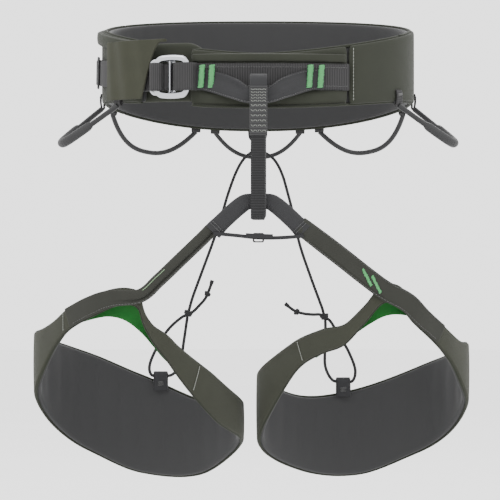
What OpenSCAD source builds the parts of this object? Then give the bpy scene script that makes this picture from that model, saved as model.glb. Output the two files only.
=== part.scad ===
// Climbing sit harness: a padded waist belt with a two-plate buckle, a belay loop
// between two tie-in sleeves, two padded leg loops on risers, drop-seat elastics
// and gear loops. Millimetres. The origin is the centre of the waist opening,
// +Z up, the wearer faces -Y and the wearer's right hand is on the -X side.

/* [Waist belt] */
// Inside width of the waist opening
waist_w = 280; // [274:2:286]
// Inside depth of the waist opening, front to back
waist_d = 184; // [180:2:188]
// Height of the belt's top edge at the middle of the back
back_top = 60; // [52:1:64]
// Height of the belt's top edge at the middle of the front
front_top = 13; // [10:1:15]
// Thickness of the foam in the belt
belt_foam_t = 3.6; // [2.8:0.2:3.6]
// Width of the load webbing
webbing_w = 25; // [22:1:26]

/* [Belay loop] */
// Width of the belay loop's webbing
belay_w = 15; // [12:1:16]
// Length of the belay loop, outside
belay_len = 131; // [125:1:137]
// Thickness of the belay loop's doubled webbing
belay_t = 4.5; // [3.5:0.5:4.5]

/* [Leg loops] */
// Width of the risers
riser_w = 19; // [16:1:22]
// Thickness of the foam in the leg loops
leg_foam_t = 3.6; // [2.6:0.2:3.6]

/* [Cords and gear loops] */
// Diameter of the drop-seat elastic cord
seat_cord_d = 2.7; // [2:0.1:3]
// Diameter of the moulded grips on the front gear loops
grip_d = 9; // [7:0.5:10]
// Diameter of the rear gear loops
rear_loop_d = 4; // [3:0.5:4.5]

/* [Hidden] */

olive = "#4B4E41";
charcoal = "#464646";
webbing_grey = "#5A5A5A";
mint = "#5DC884";
leaf = "#288C32";
silver = "#C8CBD0";
black = "#202020";

// Layers of the belt, counted outwards from the waist opening.
layer_gap = 0.2;
lining_t = 1.5;
core_t = 2;
cover_t = 2;
webbing_t = 2.4;
foam_in = lining_t + layer_gap;
foam_out = foam_in + belt_foam_t;
core_in = foam_out + layer_gap;
core_out = core_in + core_t;
cover_in = core_out + layer_gap;
cover_out = cover_in + cover_t;
skin_in = cover_out + layer_gap;
skin_out = skin_in + webbing_t;

// Angles around the belt: -90 is the middle of the front, 90 the middle of the
// back, 0 the wearer's left side and 180 the wearer's right side.
belt_start = -112;
seam_left = -59;
panel_left_end = 24;
panel_right_start = 156;
belt_end = 226;
belt_step = 4;

webbing_z = -7.5;
front_bottom = -35;

// Belay loop and the two points it joins. The loop hangs clear of the belt.
loop_standoff = 20;
loop_y = -(waist_d / 2 + skin_out) - loop_standoff;
tie_in_z = -21;
loop_top = -8.5;
loop_inner_r = 7.5;
loop_bottom = loop_top - belay_len;
bridge_z = loop_bottom + 15.5;
bridge_point = [0, loop_y, bridge_z];

// Drop-seat hardware under the back of the belt.
seat_bar = [0, 102, -57];
seat_bar_r = 1.5;
seat_ring_r = 2.3;

// ---------------------------------------------------------------- vectors

function unit(v) = v / norm(v);
function mix(a, b, s) = a + (b - a) * s;
function mirror_x(points) = [for (p = points) [-p[0], p[1], p[2]]];

// Smooth point on a row of points: a Catmull-Rom curve through all of them.
function spline4(a, b, c, d, s) = 0.5 * (2 * b + (c - a) * s
    + (2 * a - 5 * b + 4 * c - d) * s * s + (3 * b - a - 3 * c + d) * s * s * s);
function open_spline(points, steps) = let (n = len(points)) [
    for (i = [0:n - 2], k = [0:steps - 1])
        spline4(points[max(i - 1, 0)], points[i], points[i + 1],
            points[min(i + 2, n - 1)], k / steps),
    points[n - 1]];
function ring_point(points, u) = let (n = len(points), i = floor(u), s = u - i)
    spline4(points[(i + n - 1) % n], points[i % n], points[(i + 1) % n],
        points[(i + 2) % n], s);

// Direction of a row of points at one of them.
function heading(points, i) =
    unit(points[min(i + 1, len(points) - 1)] - points[max(i - 1, 0)]);

// ------------------------------------------------------------ basic solids

// Closed skin over a row of rings that all have the same number of points.
module loft(rings) {
    n = len(rings);
    m = len(rings[0]);
    last = (n - 1) * m;
    sides = [for (i = [0:n - 2], j = [0:m - 1])
        let (a = i * m + j, b = i * m + (j + 1) % m) each [
            [a, b + m, b],
            [a, a + m, b + m]]];
    first_cap = [for (j = [1:m - 2]) [0, j, j + 1]];
    last_cap = [for (j = [1:m - 2]) [last, last + j + 1, last + j]];
    polyhedron(points = [for (ring = rings) each ring],
        faces = concat(sides, first_cap, last_cap), convexity = 10);
}

// Round tube along a row of points.
module tube(points, d, sides = 8) {
    function side_of(t) = unit(cross(t, abs(t[1]) < 0.8 ? [0, 1, 0] : [1, 0, 0]));
    loft([for (i = [0:len(points) - 1])
        let (t = heading(points, i), a = side_of(t), b = cross(t, a))
            [for (k = [0:sides - 1])
                points[i] + (a * cos(360 * k / sides) + b * sin(360 * k / sides)) * d / 2]]);
}

// Strap along a row of points: its width lies across face, its thickness along face.
// The half sizes may change along it, so both are rows of numbers.
module strap(points, half_w, half_t, face, sides = 4) {
    turn = 45 - 180 / sides * (sides > 4 ? 1 : 0);
    grow = sides == 4 ? sqrt(2) : 1;
    loft([for (i = [0:len(points) - 1])
        let (t = heading(points, i), w = unit(cross(t, face)), n = cross(t, w))
            [for (k = [0:sides - 1]) let (q = turn + 360 * k / sides)
                points[i] + w * half_w[i] * grow * cos(q) + n * half_t[i] * grow * sin(q)]]);
}

function same(value, points) = [for (p = points) value];

// Flat plate with rounded corners, standing in the XZ plane and thick along Y.
module plate_outline(w, h, r) {
    square([w - 2 * r, h], center = true);
    square([w, h - 2 * r], center = true);
    for (x = [-1, 1], y = [-1, 1])
        translate([x * (w / 2 - r), y * (h / 2 - r)]) circle(r = r, $fn = 32);
}
module upright_plate(t) {
    rotate([90, 0, 0]) linear_extrude(t, center = true) children();
}

// --------------------------------------------------------------- the belt

belt_power = 2.3;
function rounded(v) = sign(v) * pow(abs(v), 2 / belt_power);
function belt_point(t, out, z) =
    [(waist_w / 2 + out) * rounded(cos(t)), (waist_d / 2 + out) * rounded(sin(t)), z];

// Heights of the belt's edges. back_share is 0 at the front and 1 at the back.
function back_share(t) = (1 + sin(t)) / 2;
belt_top = function (t) front_top + (back_top - front_top) * pow(back_share(t), 0.64);
belt_bottom = function (t) let (s = back_share(t)) front_bottom + 44 * s - 56 * s * s;
belt_middle = function (t) (belt_top(t) + belt_bottom(t)) / 2;

// Webbing height: it follows the belt's middle but stays level across the front.
webbing_mid = function (t) webbing_z + 22 * pow(max(back_share(t) - 0.1, 0), 0.8);
webbing_low = function (t) webbing_mid(t) - webbing_w / 2;
webbing_high = function (t) webbing_mid(t) + webbing_w / 2;

// One layer of the belt between two angles, two depths and two edge heights.
module belt_band(from, to, inner, outer, low, high) {
    steps = ceil((to - from) / belt_step);
    loft([for (i = [0:steps]) let (t = mix(from, to, i / steps)) [
        belt_point(t, inner, low(t)),
        belt_point(t, inner, high(t)),
        belt_point(t, outer, high(t)),
        belt_point(t, outer, low(t))]]);
}

inset_top = function (t) belt_top(t) - 2;
inset_bottom = function (t) belt_bottom(t) + 2;

module belt_lining() {
    color(charcoal) belt_band(belt_start, belt_end, 0, lining_t, belt_bottom, belt_top);
}
module belt_foam() {
    color("white") belt_band(belt_start, belt_end, foam_in, foam_out, inset_bottom, inset_top);
}
module belt_load_webbing() {
    color(webbing_grey) belt_band(seam_left + 1, belt_end, core_in, core_out,
        webbing_low, webbing_high);
}
module belt_front_cover() {
    color(olive) belt_band(belt_start, seam_left - 0.3, cover_in, cover_out,
        belt_bottom, belt_top);
}
module belt_left_panel() {
    color(olive) belt_band(seam_left, panel_left_end, cover_in, cover_out,
        belt_bottom, belt_top);
}
module belt_back_cover() {
    color(olive) belt_band(panel_left_end + 0.3, panel_right_start - 0.3, cover_in,
        cover_out, belt_bottom, belt_top);
}
module belt_right_panel() {
    color(olive) belt_band(panel_right_start, belt_end, cover_in, cover_out,
        belt_bottom, belt_top);
}

// Padded roll along the top of the front: it stands proud above the webbing.
roll_low = webbing_z + webbing_w / 2 + 0.6;
module belt_edge_roll() {
    roll_t = 4;
    roll_top = front_top - 0.5;
    from = belt_start + 2;
    to = seam_left - 2;
    steps = ceil((to - from) / belt_step);
    color(olive) loft([for (i = [0:steps]) let (t = mix(from, to, i / steps)) [
        belt_point(t, skin_in, roll_low),
        belt_point(t, skin_in, roll_top),
        belt_point(t, skin_in + roll_t / 2, roll_top),
        belt_point(t, skin_in + roll_t, mix(roll_low, roll_top, 0.6)),
        belt_point(t, skin_in + roll_t, mix(roll_low, roll_top, 0.3)),
        belt_point(t, skin_in + roll_t / 2, roll_low)]]);
}

module belt_webbing() {
    color(webbing_grey) belt_band(belt_start + 2, seam_left - 0.6, skin_in, skin_out,
        webbing_low, webbing_high);
}

// Padded tongue that lies behind the buckle, inside the belt.
tongue_from = 218;
tongue_to = 253;
module belt_tongue() {
    tongue_low = function (t) -30;
    tongue_high = function (t) 26 - 10 * pow(max(t - 244, 0) / 9, 2);
    color(olive) belt_band(tongue_from, tongue_to, -7, -0.6, tongue_low, tongue_high);
}

// Keeper panel over the right end of the belt. Its front edge slants back at the top.
keeper_from = 204;
keeper_mouth = 228;
keeper_to = 240;
module belt_keeper() {
    keeper_low = function (t) t <= keeper_mouth ? -27
        : mix(12, 25, (t - keeper_mouth) / (keeper_to - keeper_mouth));
    keeper_high = function (t) 28;
    inner = skin_out + 0.6;
    outer = inner + 1.6;
    steps = 4;
    rows = [
        for (i = [0:steps]) mix(keeper_from, keeper_mouth, i / steps),
        for (i = [0:steps]) mix(keeper_mouth + 0.3, keeper_to, i / steps)];
    color(olive) loft([for (t = rows) [
        belt_point(t, inner, keeper_low(t)),
        belt_point(t, inner, keeper_high(t)),
        belt_point(t, outer, keeper_high(t)),
        belt_point(t, outer, keeper_low(t))]]);
}

// Free end of the webbing, tucked back along the wearer's right side.
tail_from = 170;
module webbing_tail() {
    flare = function (t) 6 * pow(max(180 - t, 0) / 10, 2);
    inner = skin_in + 0.5;
    outer = skin_out + 0.2;
    steps = ceil((keeper_mouth - tail_from) / belt_step);
    color(webbing_grey) loft([
        for (i = [0:steps]) let (t = mix(tail_from, keeper_mouth, i / steps)) [
            belt_point(t, inner + flare(t), webbing_low(t)),
            belt_point(t, inner + flare(t), webbing_high(t)),
            belt_point(t, outer + flare(t), webbing_high(t)),
            belt_point(t, outer + flare(t), webbing_low(t))]]);
}

// Elastic band that holds the tail down.
module tail_elastic() {
    color(black) belt_band(188, 191, skin_out + 0.4, skin_out + 1.4,
        function (t) webbing_low(t) - 3, function (t) webbing_high(t) + 3);
}

// A small part placed on the belt's face at an angle: its own -Y points outwards.
module on_belt(t, out, z) {
    ahead = belt_point(t + 1, out, z) - belt_point(t - 1, out, z);
    translate(belt_point(t, out, z)) rotate([0, 0, atan2(ahead[1], ahead[0])]) children();
}

// Bar tacks that sew the tie-in sleeve to the webbing.
bartack_angles = [-107.5, -104.2, -75.4, -71.6];
module waist_bartacks() {
    color(mint) for (t = bartack_angles)
        on_belt(t, skin_out + 4.9, webbing_z) cube([5, 0.8, 19], center = true);
}

// ---------------------------------------------------------------- buckle

buckle_t = 242.6;
buckle_out = skin_out + 4.5;
buckle_w = 35;
buckle_h = 39;
buckle_plate_t = 3.4;
buckle_z = -7.5;
anchor_w = 22;

module buckle_place() {
    on_belt(buckle_t, buckle_out, buckle_z) children();
}

// Front plate: a ring with one middle bar.
module buckle_frame() {
    window_h = 28;
    color(silver) buckle_place() upright_plate(buckle_plate_t) difference() {
        plate_outline(buckle_w, buckle_h, 8);
        translate([-8.4, 0]) square([10.5, window_h], center = true);
        translate([6.4, 0]) square([12.5, window_h], center = true);
    }
}

// Rear plate: it sits behind the front plate, towards the anchor.
rear_shift = [-10, buckle_plate_t + 0.8, 0];
module buckle_rear_frame() {
    color(silver) buckle_place() translate(rear_shift)
        upright_plate(2.4) difference() {
            plate_outline(26, 34, 4);
            square([17, 26.5], center = true);
        }
}

// Webbing that is sewn around the rear plate's outer bar and goes into the belt.
module buckle_anchor_webbing() {
    color(webbing_grey) belt_band(belt_end + 0.4, 233.6, core_in, core_out,
        function (t) buckle_z - 12.5, function (t) buckle_z + 12.5);
}

// Webbing folded over the front plate's bars.
module buckle_webbing() {
    color(webbing_grey) buckle_place() {
        translate([-14.4, -3.2, 0]) cube([9, 1.8, 25.6], center = true);
        translate([9.4, -3.2, 0]) cube([16, 1.8, 25.6], center = true);
    }
}

// --------------------------------------------- tie-in sleeves, belay loop

tie_in_route = [
    [-58, loop_y + 23, -10], [-44, loop_y + 20.6, -12], [-24, loop_y + 9, -19],
    [-9, loop_y, -26], [9, loop_y, -26], [26, loop_y + 9, -18],
    [46, loop_y + 20.8, -11], [60, loop_y + 23.2, -10]];
tie_in_half_w = [9, 9, 9, 7.5, 7.5, 9, 9, 9];
tie_in_half_t = [1, 1.2, 3.2, 3.6, 3.6, 3.2, 1.2, 1];
function stretch(values, steps) = [for (v = open_spline([for (x = values) [x, 0]], steps)) v[0]];

module tie_in_sleeve() {
    steps = 4;
    route = open_spline(tie_in_route, steps);
    color(charcoal) strap(route, stretch(tie_in_half_w, steps), stretch(tie_in_half_t, steps),
        [0, -1, 0], 10);
}

// The loop's side outline, with straight runs between two half circles.
module loop_outline(grow) {
    top = loop_top - belay_t - loop_inner_r;
    bottom = loop_bottom + belay_t + loop_inner_r;
    translate([loop_y, top]) circle(r = loop_inner_r + grow, $fn = 48);
    translate([loop_y, bottom]) circle(r = loop_inner_r + grow, $fn = 48);
    translate([loop_y - loop_inner_r - grow, bottom])
        square([2 * (loop_inner_r + grow), top - bottom]);
}
module across(w) {
    rotate([90, 0, 90]) linear_extrude(w, center = true) children();
}
module belay_loop() {
    color(webbing_grey) across(belay_w) difference() {
        loop_outline(belay_t);
        loop_outline(0);
    }
}

// Lighter sewn overlap on the front of the belay loop.
module belay_stitching() {
    overlap_h = 42;
    color("#777777") translate([0, loop_y - loop_inner_r - belay_t - 0.8,
        loop_top - 12 - overlap_h / 2]) cube([belay_w + 1, 1.2, overlap_h], center = true);
}

bridge_route = [[-42, 3.5, -26.5], [-31, 2.5, -16], [-17, 1, -5], [-8.5, 0, 0],
    [8.5, 0, 0], [17, 1, -5], [31, 2.5, -16], [42, 3.5, -26.5]];
bridge_half_w = [7.5, 7.5, 7.5, 7, 7, 7.5, 7.5, 7.5];
bridge_half_t = [2.8, 3.4, 3.8, 3.8, 3.8, 3.8, 3.4, 2.8];
module bridge_strap(w_share, t_share, cut) {
    steps = 3;
    whole = open_spline(bridge_route, steps);
    keep = [for (i = [cut:len(whole) - 1 - cut]) i];
    w = stretch(bridge_half_w, steps);
    t = stretch(bridge_half_t, steps);
    translate(bridge_point) strap([for (i = keep) whole[i]], [for (i = keep) w[i] * w_share],
        [for (i = keep) t[i] * t_share], [0, -1, 0], 10);
}
module bridge_sleeve() {
    color(charcoal) difference() {
        bridge_strap(1, 1, 0);
        bridge_strap(0.66, 0.5, 1);
    }
}
// Load webbing inside the lower sleeve.
module bridge_core() {
    color(webbing_grey) bridge_strap(0.55, 0.36, 2);
}

// Adjusting strap across the two riser heads.
cross_route = [[-39, -1.2, -29], [-20, -1.6, -32], [0, -2, -33.5], [20, -1.6, -33.5],
    [39, -1.2, -31.5]];
module cross_strap() {
    steps = 3;
    route = open_spline(cross_route, steps);
    color(webbing_grey) translate(bridge_point)
        strap(route, same(2.4, route), same(0.8, route), [0, -1, 0]);
}
module cross_strap_slider() {
    color(black) translate(bridge_point + cross_route[2]) upright_plate(4.6) difference() {
        plate_outline(22, 9.4, 2);
        square([30, 6.8], center = true);
    }
}

// -------------------------------------------------------------- leg loops

// Each leg loop's inner face, from the foot of the riser around the outer side, the
// back and the inner side, measured from the lower tie-in point. The fourth number
// is the band's width there.
right_leg_route = [
    [-112, 31, -88, 16], [-154, 44, -96, 21], [-188, 76, -121, 27],
    [-207, 116, -158, 66], [-176, 168, -190, 96], [-116, 188, -214, 98],
    [-58, 168, -226, 74], [-18, 118, -208, 40], [-46, 72, -180, 42],
    [-84, 42, -137, 26]];
left_leg_route = [
    [116, 31, -83, 18], [148, 44, -101, 23], [180, 76, -134, 31],
    [194, 116, -166, 66], [166, 168, -196, 90], [100, 188, -222, 86],
    [44, 168, -222, 74], [3, 118, -194, 66], [38, 72, -143, 30],
    [78, 41, -119, 22]];
leg_lining_t = 1.4;
leg_shell_t = 1.5;
leg_foam_in = leg_lining_t + layer_gap;
leg_foam_out = leg_foam_in + leg_foam_t;
leg_shell_in = leg_foam_out + layer_gap;
leg_shell_out = leg_shell_in + leg_shell_t;
leg_step = 0.2;

// Frame of a leg loop's band at u: middle point, outward direction and width.
function leg_frame(route, u, side) = let (
        here = ring_point(route, u),
        ahead = ring_point(route, u + 0.02) - ring_point(route, u + 9.98))
    [[here[0], here[1], here[2]], unit([ahead[1], -ahead[0], 0]) * side, here[3]];

// One layer of a leg loop between two depths. low and high give its edges' heights
// from the band's middle.
module leg_band(route, side, from, to, inner, outer, low, high) {
    steps = round((to - from) / leg_step);
    translate(bridge_point) loft([for (i = [0:steps])
        let (f = leg_frame(route, mix(from, to, i / steps), side),
            a = low(f[2]), b = high(f[2]),
            corners = [[inner, a], [inner, b], [outer, b], [outer, a]])
        [for (c = side > 0 ? corners : [corners[3], corners[2], corners[1], corners[0]])
            f[0] + f[1] * c[0] + [0, 0, c[1]]]]);
}

// A whole leg loop layer is one ring: it meets itself at the crotch of the riser.
ring_from = 0.1;
ring_to = 9.9;
full_low = function (w) -w / 2;
full_high = function (w) w / 2;

module leg_layer(route, side, inner, outer, low, high) {
    leg_band(route, side, ring_from, ring_to, inner, outer, low, high);
}
module leg_shell(route, side) {
    color(olive) leg_layer(route, side, leg_shell_in, leg_shell_out, full_low, full_high);
}
module leg_foam(route, side) {
    color("white") leg_layer(route, side, leg_foam_in, leg_foam_out, full_low, full_high);
}
module leg_lining(route, side) {
    color(charcoal) leg_layer(route, side, 0, leg_lining_t, full_low, full_high);
}

// Green stay that lines the inside of the crotch, just below the band.
module gusset(route, side) {
    color(leaf) leg_band(route, side, 8.8, 11.2, -1.6, -0.4,
        function (w) -w / 2 - 7, function (w) -w / 2 + 3);
}

// Riser: a flat head behind the sleeve's end, then a strap down to the leg loop.
right_head = [-42, 8.6, -25];
left_head = [42, 8.6, -25];
right_riser_route = [right_head, [-50, 8.6, -33], [-70, 13, -52], [-90, 18, -71],
    [-108, 20.5, -86], [-118, 20.5, -93]];
left_riser_route = [left_head, [50, 8.6, -31], [75, 13, -50], [98, 18, -68],
    [116, 20.5, -81], [127, 20.5, -88]];
module riser(route) {
    steps = 3;
    half_t = 1.4;
    path = open_spline(route, steps);
    color(webbing_grey) translate(bridge_point) {
        strap(path, same(riser_w / 2, path), same(half_t, path), [0, -1, 0]);
        translate(route[0]) upright_plate(2 * half_t) circle(r = riser_w / 2 - 0.6, $fn = 32);
    }
}

// Green tacks that sew a riser to its leg loop.
module leg_bartacks(route) {
    foot = route[len(route) - 2];
    run = unit(foot - route[len(route) - 3]);
    tilt = -atan2(run[2], run[0]);
    color(mint) translate(bridge_point) for (back = [4, 15])
        translate(foot - run * back + [0, -3, 0]) rotate([0, tilt, 0])
            cube([3.6, 1.2, riser_w - 2], center = true);
}

// -------------------------------------------- drop-seat elastics and hook

right_knot = [-69, 80, -230];
left_knot = [66, 80, -233];
right_tab = [-95.5, 60.6, -290];
left_tab = [84, 61.2, -296];
seat_knot_r = 3.8;
tab_inner_r = 2.2;
tab_outer_r = 3.4;
tab_w = 14;

// Webbing loop under the back of the belt, with the bar that the hook turns on.
module seat_anchor_loop() {
    leg_h = belt_bottom(90) - seat_bar[2] - 0.4;
    bar_w = 18;
    color(webbing_grey) {
        translate(seat_bar) rotate([0, 90, 0]) cylinder(r = seat_bar_r, h = bar_w,
            center = true, $fn = 32);
        for (x = [-1, 1]) translate(seat_bar + [x * (bar_w / 2 - 1), 0, leg_h / 2])
            cube([2, 2 * seat_bar_r, leg_h], center = true);
    }
}

// Plastic hook: a ring around the bar and a plate with the cords' two eyes.
hook_ring_outer = 4.4;
hook_plate_low = -9;
module seat_hook() {
    hook_w = 11;
    color(black) translate(seat_bar) {
        rotate([0, 90, 0]) difference() {
            cylinder(r = hook_ring_outer, h = hook_w, center = true, $fn = 32);
            cylinder(r = seat_ring_r, h = hook_w + 2, center = true, $fn = 32);
        }
        translate([0, 0, (hook_plate_low - hook_ring_outer + 0.6) / 2])
            cube([hook_w, 3, -hook_plate_low - hook_ring_outer + 0.6], center = true);
    }
}

// Long run of each elastic, from the hook to just above its slip knot.
right_cord_route = [[-4, 102, -67.6], [-14, 102, -76], [-22, 102, -90], [-30, 100, -112],
    [-37, 97, -136], [-45, 94, -160], [-56, 89, -190], [-64, 84, -212],
    [-67, 82, -222]];
left_cord_route = [[4, 102, -67.6], [16, 102, -76], [24, 102, -90], [30, 100, -110],
    [36, 97, -134], [42, 93, -162], [52, 88, -192], [60, 84, -214],
    [64, 82, -225]];
module seat_cord(route) {
    color(black) tube(open_spline(route, 2), seat_cord_d);
}

// Each elastic's end goes from the knot through the leg loop's tab and back.
right_loop_route = [[-70, 79, -235], [-73, 75, -256], [-77, 68, -280], [-85, 60.8, -290],
    [-95.5, 60.8, -290], [-104.5, 60.8, -290], [-106.5, 64, -280], [-99, 69, -262],
    [-88, 74, -245], [-75, 79, -233.5]];
left_loop_route = [[67, 79, -238], [67, 75, -258], [66.5, 68, -281], [73.5, 61.3, -295],
    [84, 61.2, -296], [93, 61.5, -296], [96, 64, -285], [89.5, 69, -267],
    [80, 74, -251], [71.5, 79, -237]];
module cord_loop(route) {
    color(black) tube(open_spline(route, 3), seat_cord_d);
}
module slip_knot(place) {
    color(black) translate(place) sphere(r = seat_knot_r, $fn = 24);
}

// The free end past each slip knot, with its stopper knot.
right_tail_route = [[-64, 80, -228], [-58, 80, -222], [-52, 80, -215], [-48, 80, -206],
    [-45, 80, -197]];
left_tail_route = [[61.5, 80, -231], [54, 80, -231], [45, 80, -230], [36, 80, -227],
    [27, 80, -220]];
module cord_tail(route) {
    ends = open_spline(route, 2);
    last = len(ends) - 1;
    color(black) {
        tube([for (i = [0:last - 5]) ends[i]], seat_cord_d);
        tube([for (i = [last - 1:last]) ends[i]], seat_cord_d);
    }
}
module tail_knot(route) {
    ends = open_spline(route, 2);
    color(black) translate(ends[len(ends) - 4]) sphere(r = 2.9, $fn = 24);
}

// Fabric tab on the leg loop's top edge that holds the elastic's end.
module cord_tab(place) {
    tail_h = 16;
    color(webbing_grey) translate(place) {
        rotate([0, 90, 0]) difference() {
            cylinder(r = tab_outer_r, h = tab_w, center = true, $fn = 32);
            cylinder(r = tab_inner_r, h = tab_w + 2, center = true, $fn = 32);
        }
        translate([0, -(tab_outer_r + tab_inner_r) / 2 + 0.1, -tail_h / 2])
            cube([tab_w, 1.2, tail_h], center = true);
    }
}

// -------------------------------------------------------------- gear loops

// Sewn tabs on the belt's lower edge carry the ends of every gear loop. The ends
// turn just under them.
tab_out = cover_out + 0.9;
tab_drop = 1.5;
function anchor(t, d) = belt_point(t, tab_out, belt_bottom(t) - tab_drop - 0.5 - d / 2);

gear_tape_d = 4;
haul_d = 3.5;
grip_share = 0.12;
front_angles = [-31, 3];
rear_angles = [21, 69];
haul_angles = [103.5, 76.5];

// A gear loop is a bow between two anchors; drop is how far its middle hangs out.
front_gear_ends = [for (t = front_angles) anchor(t, gear_tape_d)];
front_gear_drop = [44, -5, -34];
rear_gear_ends = [for (t = rear_angles) anchor(t, rear_loop_d)];
rear_gear_drop = [8, 10, -28];
haul_ends = [for (t = haul_angles) anchor(t, haul_d)];
haul_drop = [0, 14, -24];
function bow_point(ends, drop, s) =
    mix(ends[0], ends[1], s) + drop * (1 - pow(abs(2 * s - 1), 2.4));
function bow(ends, drop, from, to, steps) =
    [for (i = [0:steps]) bow_point(ends, drop, mix(from, to, i / steps))];

module gear_tape(ends, drop) {
    color(charcoal) {
        tube(bow(ends, drop, 0, grip_share, 4), gear_tape_d);
        tube(bow(ends, drop, 1 - grip_share, 1, 4), gear_tape_d);
    }
}
module gear_grip(ends, drop) {
    grip_gap = 0.005;
    color(black) tube(bow(ends, drop, grip_share + grip_gap, 1 - grip_share - grip_gap, 16),
        grip_d, 10);
}
module thin_loop(ends, drop, d) {
    color(charcoal) tube(bow(ends, drop, 0, 1, 22), d);
}

// The sewn tabs themselves, one above each end.
module gear_loop_tabs() {
    tab_h = 9;
    left_side = concat(front_angles, rear_angles);
    right_side = [for (t = left_side) 180 - t];
    color(webbing_grey) for (t = concat(left_side, right_side, haul_angles))
        on_belt(t, tab_out, belt_bottom(t) + tab_h / 2 - tab_drop)
            cube([9, 1.4, tab_h], center = true);
}

// ------------------------------------------------------------------- parts

belt_lining();
belt_foam();
belt_load_webbing();
belt_front_cover();
belt_edge_roll();
belt_left_panel();
belt_back_cover();
belt_right_panel();
belt_webbing();
belt_tongue();
belt_keeper();
webbing_tail();
tail_elastic();
waist_bartacks();
tie_in_sleeve();
gear_loop_tabs();
seat_anchor_loop();
buckle_anchor_webbing();
buckle_rear_frame();
buckle_frame();
buckle_webbing();
belay_loop();
belay_stitching();
bridge_sleeve();
bridge_core();
cross_strap();
cross_strap_slider();
riser(right_riser_route);  // right_riser
leg_shell(right_leg_route, -1);  // right_leg_shell
leg_foam(right_leg_route, -1);  // right_leg_foam
leg_lining(right_leg_route, -1);  // right_leg_lining
gusset(right_leg_route, -1);  // right_gusset
cord_tab(right_tab);  // right_cord_tab
cord_loop(right_loop_route);  // right_cord_loop
slip_knot(right_knot);  // right_slip_knot
cord_tail(right_tail_route);  // right_cord_tail
tail_knot(right_tail_route);  // right_tail_knot
leg_bartacks(right_riser_route);  // right_leg_bartacks
riser(left_riser_route);  // left_riser
leg_shell(left_leg_route, 1);  // left_leg_shell
leg_foam(left_leg_route, 1);  // left_leg_foam
leg_lining(left_leg_route, 1);  // left_leg_lining
gusset(left_leg_route, 1);  // left_gusset
cord_tab(left_tab);  // left_cord_tab
cord_loop(left_loop_route);  // left_cord_loop
slip_knot(left_knot);  // left_slip_knot
cord_tail(left_tail_route);  // left_cord_tail
tail_knot(left_tail_route);  // left_tail_knot
leg_bartacks(left_riser_route);  // left_leg_bartacks
seat_hook();
seat_cord(right_cord_route);  // right_seat_cord
seat_cord(left_cord_route);  // left_seat_cord
gear_tape(mirror_x(front_gear_ends), mirror_x([front_gear_drop])[0]);  // front_right_gear_tape
gear_grip(mirror_x(front_gear_ends), mirror_x([front_gear_drop])[0]);  // front_right_gear_grip
gear_tape(front_gear_ends, front_gear_drop);  // front_left_gear_tape
gear_grip(front_gear_ends, front_gear_drop);  // front_left_gear_grip
thin_loop(mirror_x(rear_gear_ends), mirror_x([rear_gear_drop])[0], rear_loop_d);  // rear_right_gear_loop
thin_loop(rear_gear_ends, rear_gear_drop, rear_loop_d);  // rear_left_gear_loop
thin_loop(haul_ends, haul_drop, haul_d);  // haul_loop
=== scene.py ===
import math
import random

import bmesh
import bpy
from mathutils import Matrix, Vector


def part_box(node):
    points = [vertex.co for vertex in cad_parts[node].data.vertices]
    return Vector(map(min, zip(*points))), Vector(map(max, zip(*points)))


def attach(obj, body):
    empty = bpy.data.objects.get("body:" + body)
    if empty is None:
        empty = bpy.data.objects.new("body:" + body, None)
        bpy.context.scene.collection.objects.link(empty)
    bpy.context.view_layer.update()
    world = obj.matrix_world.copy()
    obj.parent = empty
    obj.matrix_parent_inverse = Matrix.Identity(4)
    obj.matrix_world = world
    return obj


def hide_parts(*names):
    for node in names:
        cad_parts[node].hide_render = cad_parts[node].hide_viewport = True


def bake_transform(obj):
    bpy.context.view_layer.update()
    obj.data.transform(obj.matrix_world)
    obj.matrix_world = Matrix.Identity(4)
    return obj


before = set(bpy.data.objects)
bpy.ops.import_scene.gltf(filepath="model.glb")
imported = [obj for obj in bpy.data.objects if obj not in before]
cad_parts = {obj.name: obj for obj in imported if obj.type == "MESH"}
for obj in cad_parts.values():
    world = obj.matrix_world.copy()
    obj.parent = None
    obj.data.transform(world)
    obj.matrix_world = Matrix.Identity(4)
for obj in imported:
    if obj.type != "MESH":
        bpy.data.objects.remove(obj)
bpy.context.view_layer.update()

# Lengths below are in millimetres, as in the part's source, and become metres in the meshes.
MM = 0.001
UP = Vector((0, 0, 1))
FRONT = Vector((0, -1, 0))
ACROSS = Vector((1, 0, 0))

# ------------------------------------------------------------------ sizes from the frame

BELT_TOP_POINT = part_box("belt_lining")[1]
WAIST_W = 280
WAIST_D = 184
COVER_OUT = 9.7
SKIN_OUT = 12.3
BACK_TOP = BELT_TOP_POINT[2] / MM
FRONT_TOP = 13
FRONT_BOTTOM = -35
BELT_POWER = 2.3
BELT_START, BELT_END = -112, 226
SEAM_LEFT = -59
WEBBING_W = 25
WEBBING_Z = -7.5

belay_low, belay_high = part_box("belay_loop")
LOOP_Y = (belay_low[1] + belay_high[1]) / 2 / MM
LOOP_TOP = belay_high[2] / MM
LOOP_BOTTOM = belay_low[2] / MM
LOOP_INNER_R = 7.5
BELAY_T = 4.5
# The lower tie-in point, which the leg loops' and risers' points are measured from.
BRIDGE = Vector((0, LOOP_Y, LOOP_BOTTOM + 15.5))
SEAT_BAR = Vector((0, 102, -57))
CORD_R = 1.5


# --------------------------------------------------------------------- shape of the belt

def rounded(v):
    """Sine or cosine of the belt's slightly squared outline."""
    return math.copysign(abs(v) ** (2 / BELT_POWER), v)


def belt_point(angle, out, z):
    """A point on the belt: the angle round it in degrees, the distance out of its lining and the height."""
    a = math.radians(angle)
    x = (WAIST_W / 2 + out) * rounded(math.cos(a))
    y = (WAIST_D / 2 + out) * rounded(math.sin(a))
    return Vector((x, y, z))


def back_share(angle):
    """0 at the middle of the front and 1 at the middle of the back."""
    return (1 + math.sin(math.radians(angle))) / 2


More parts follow.
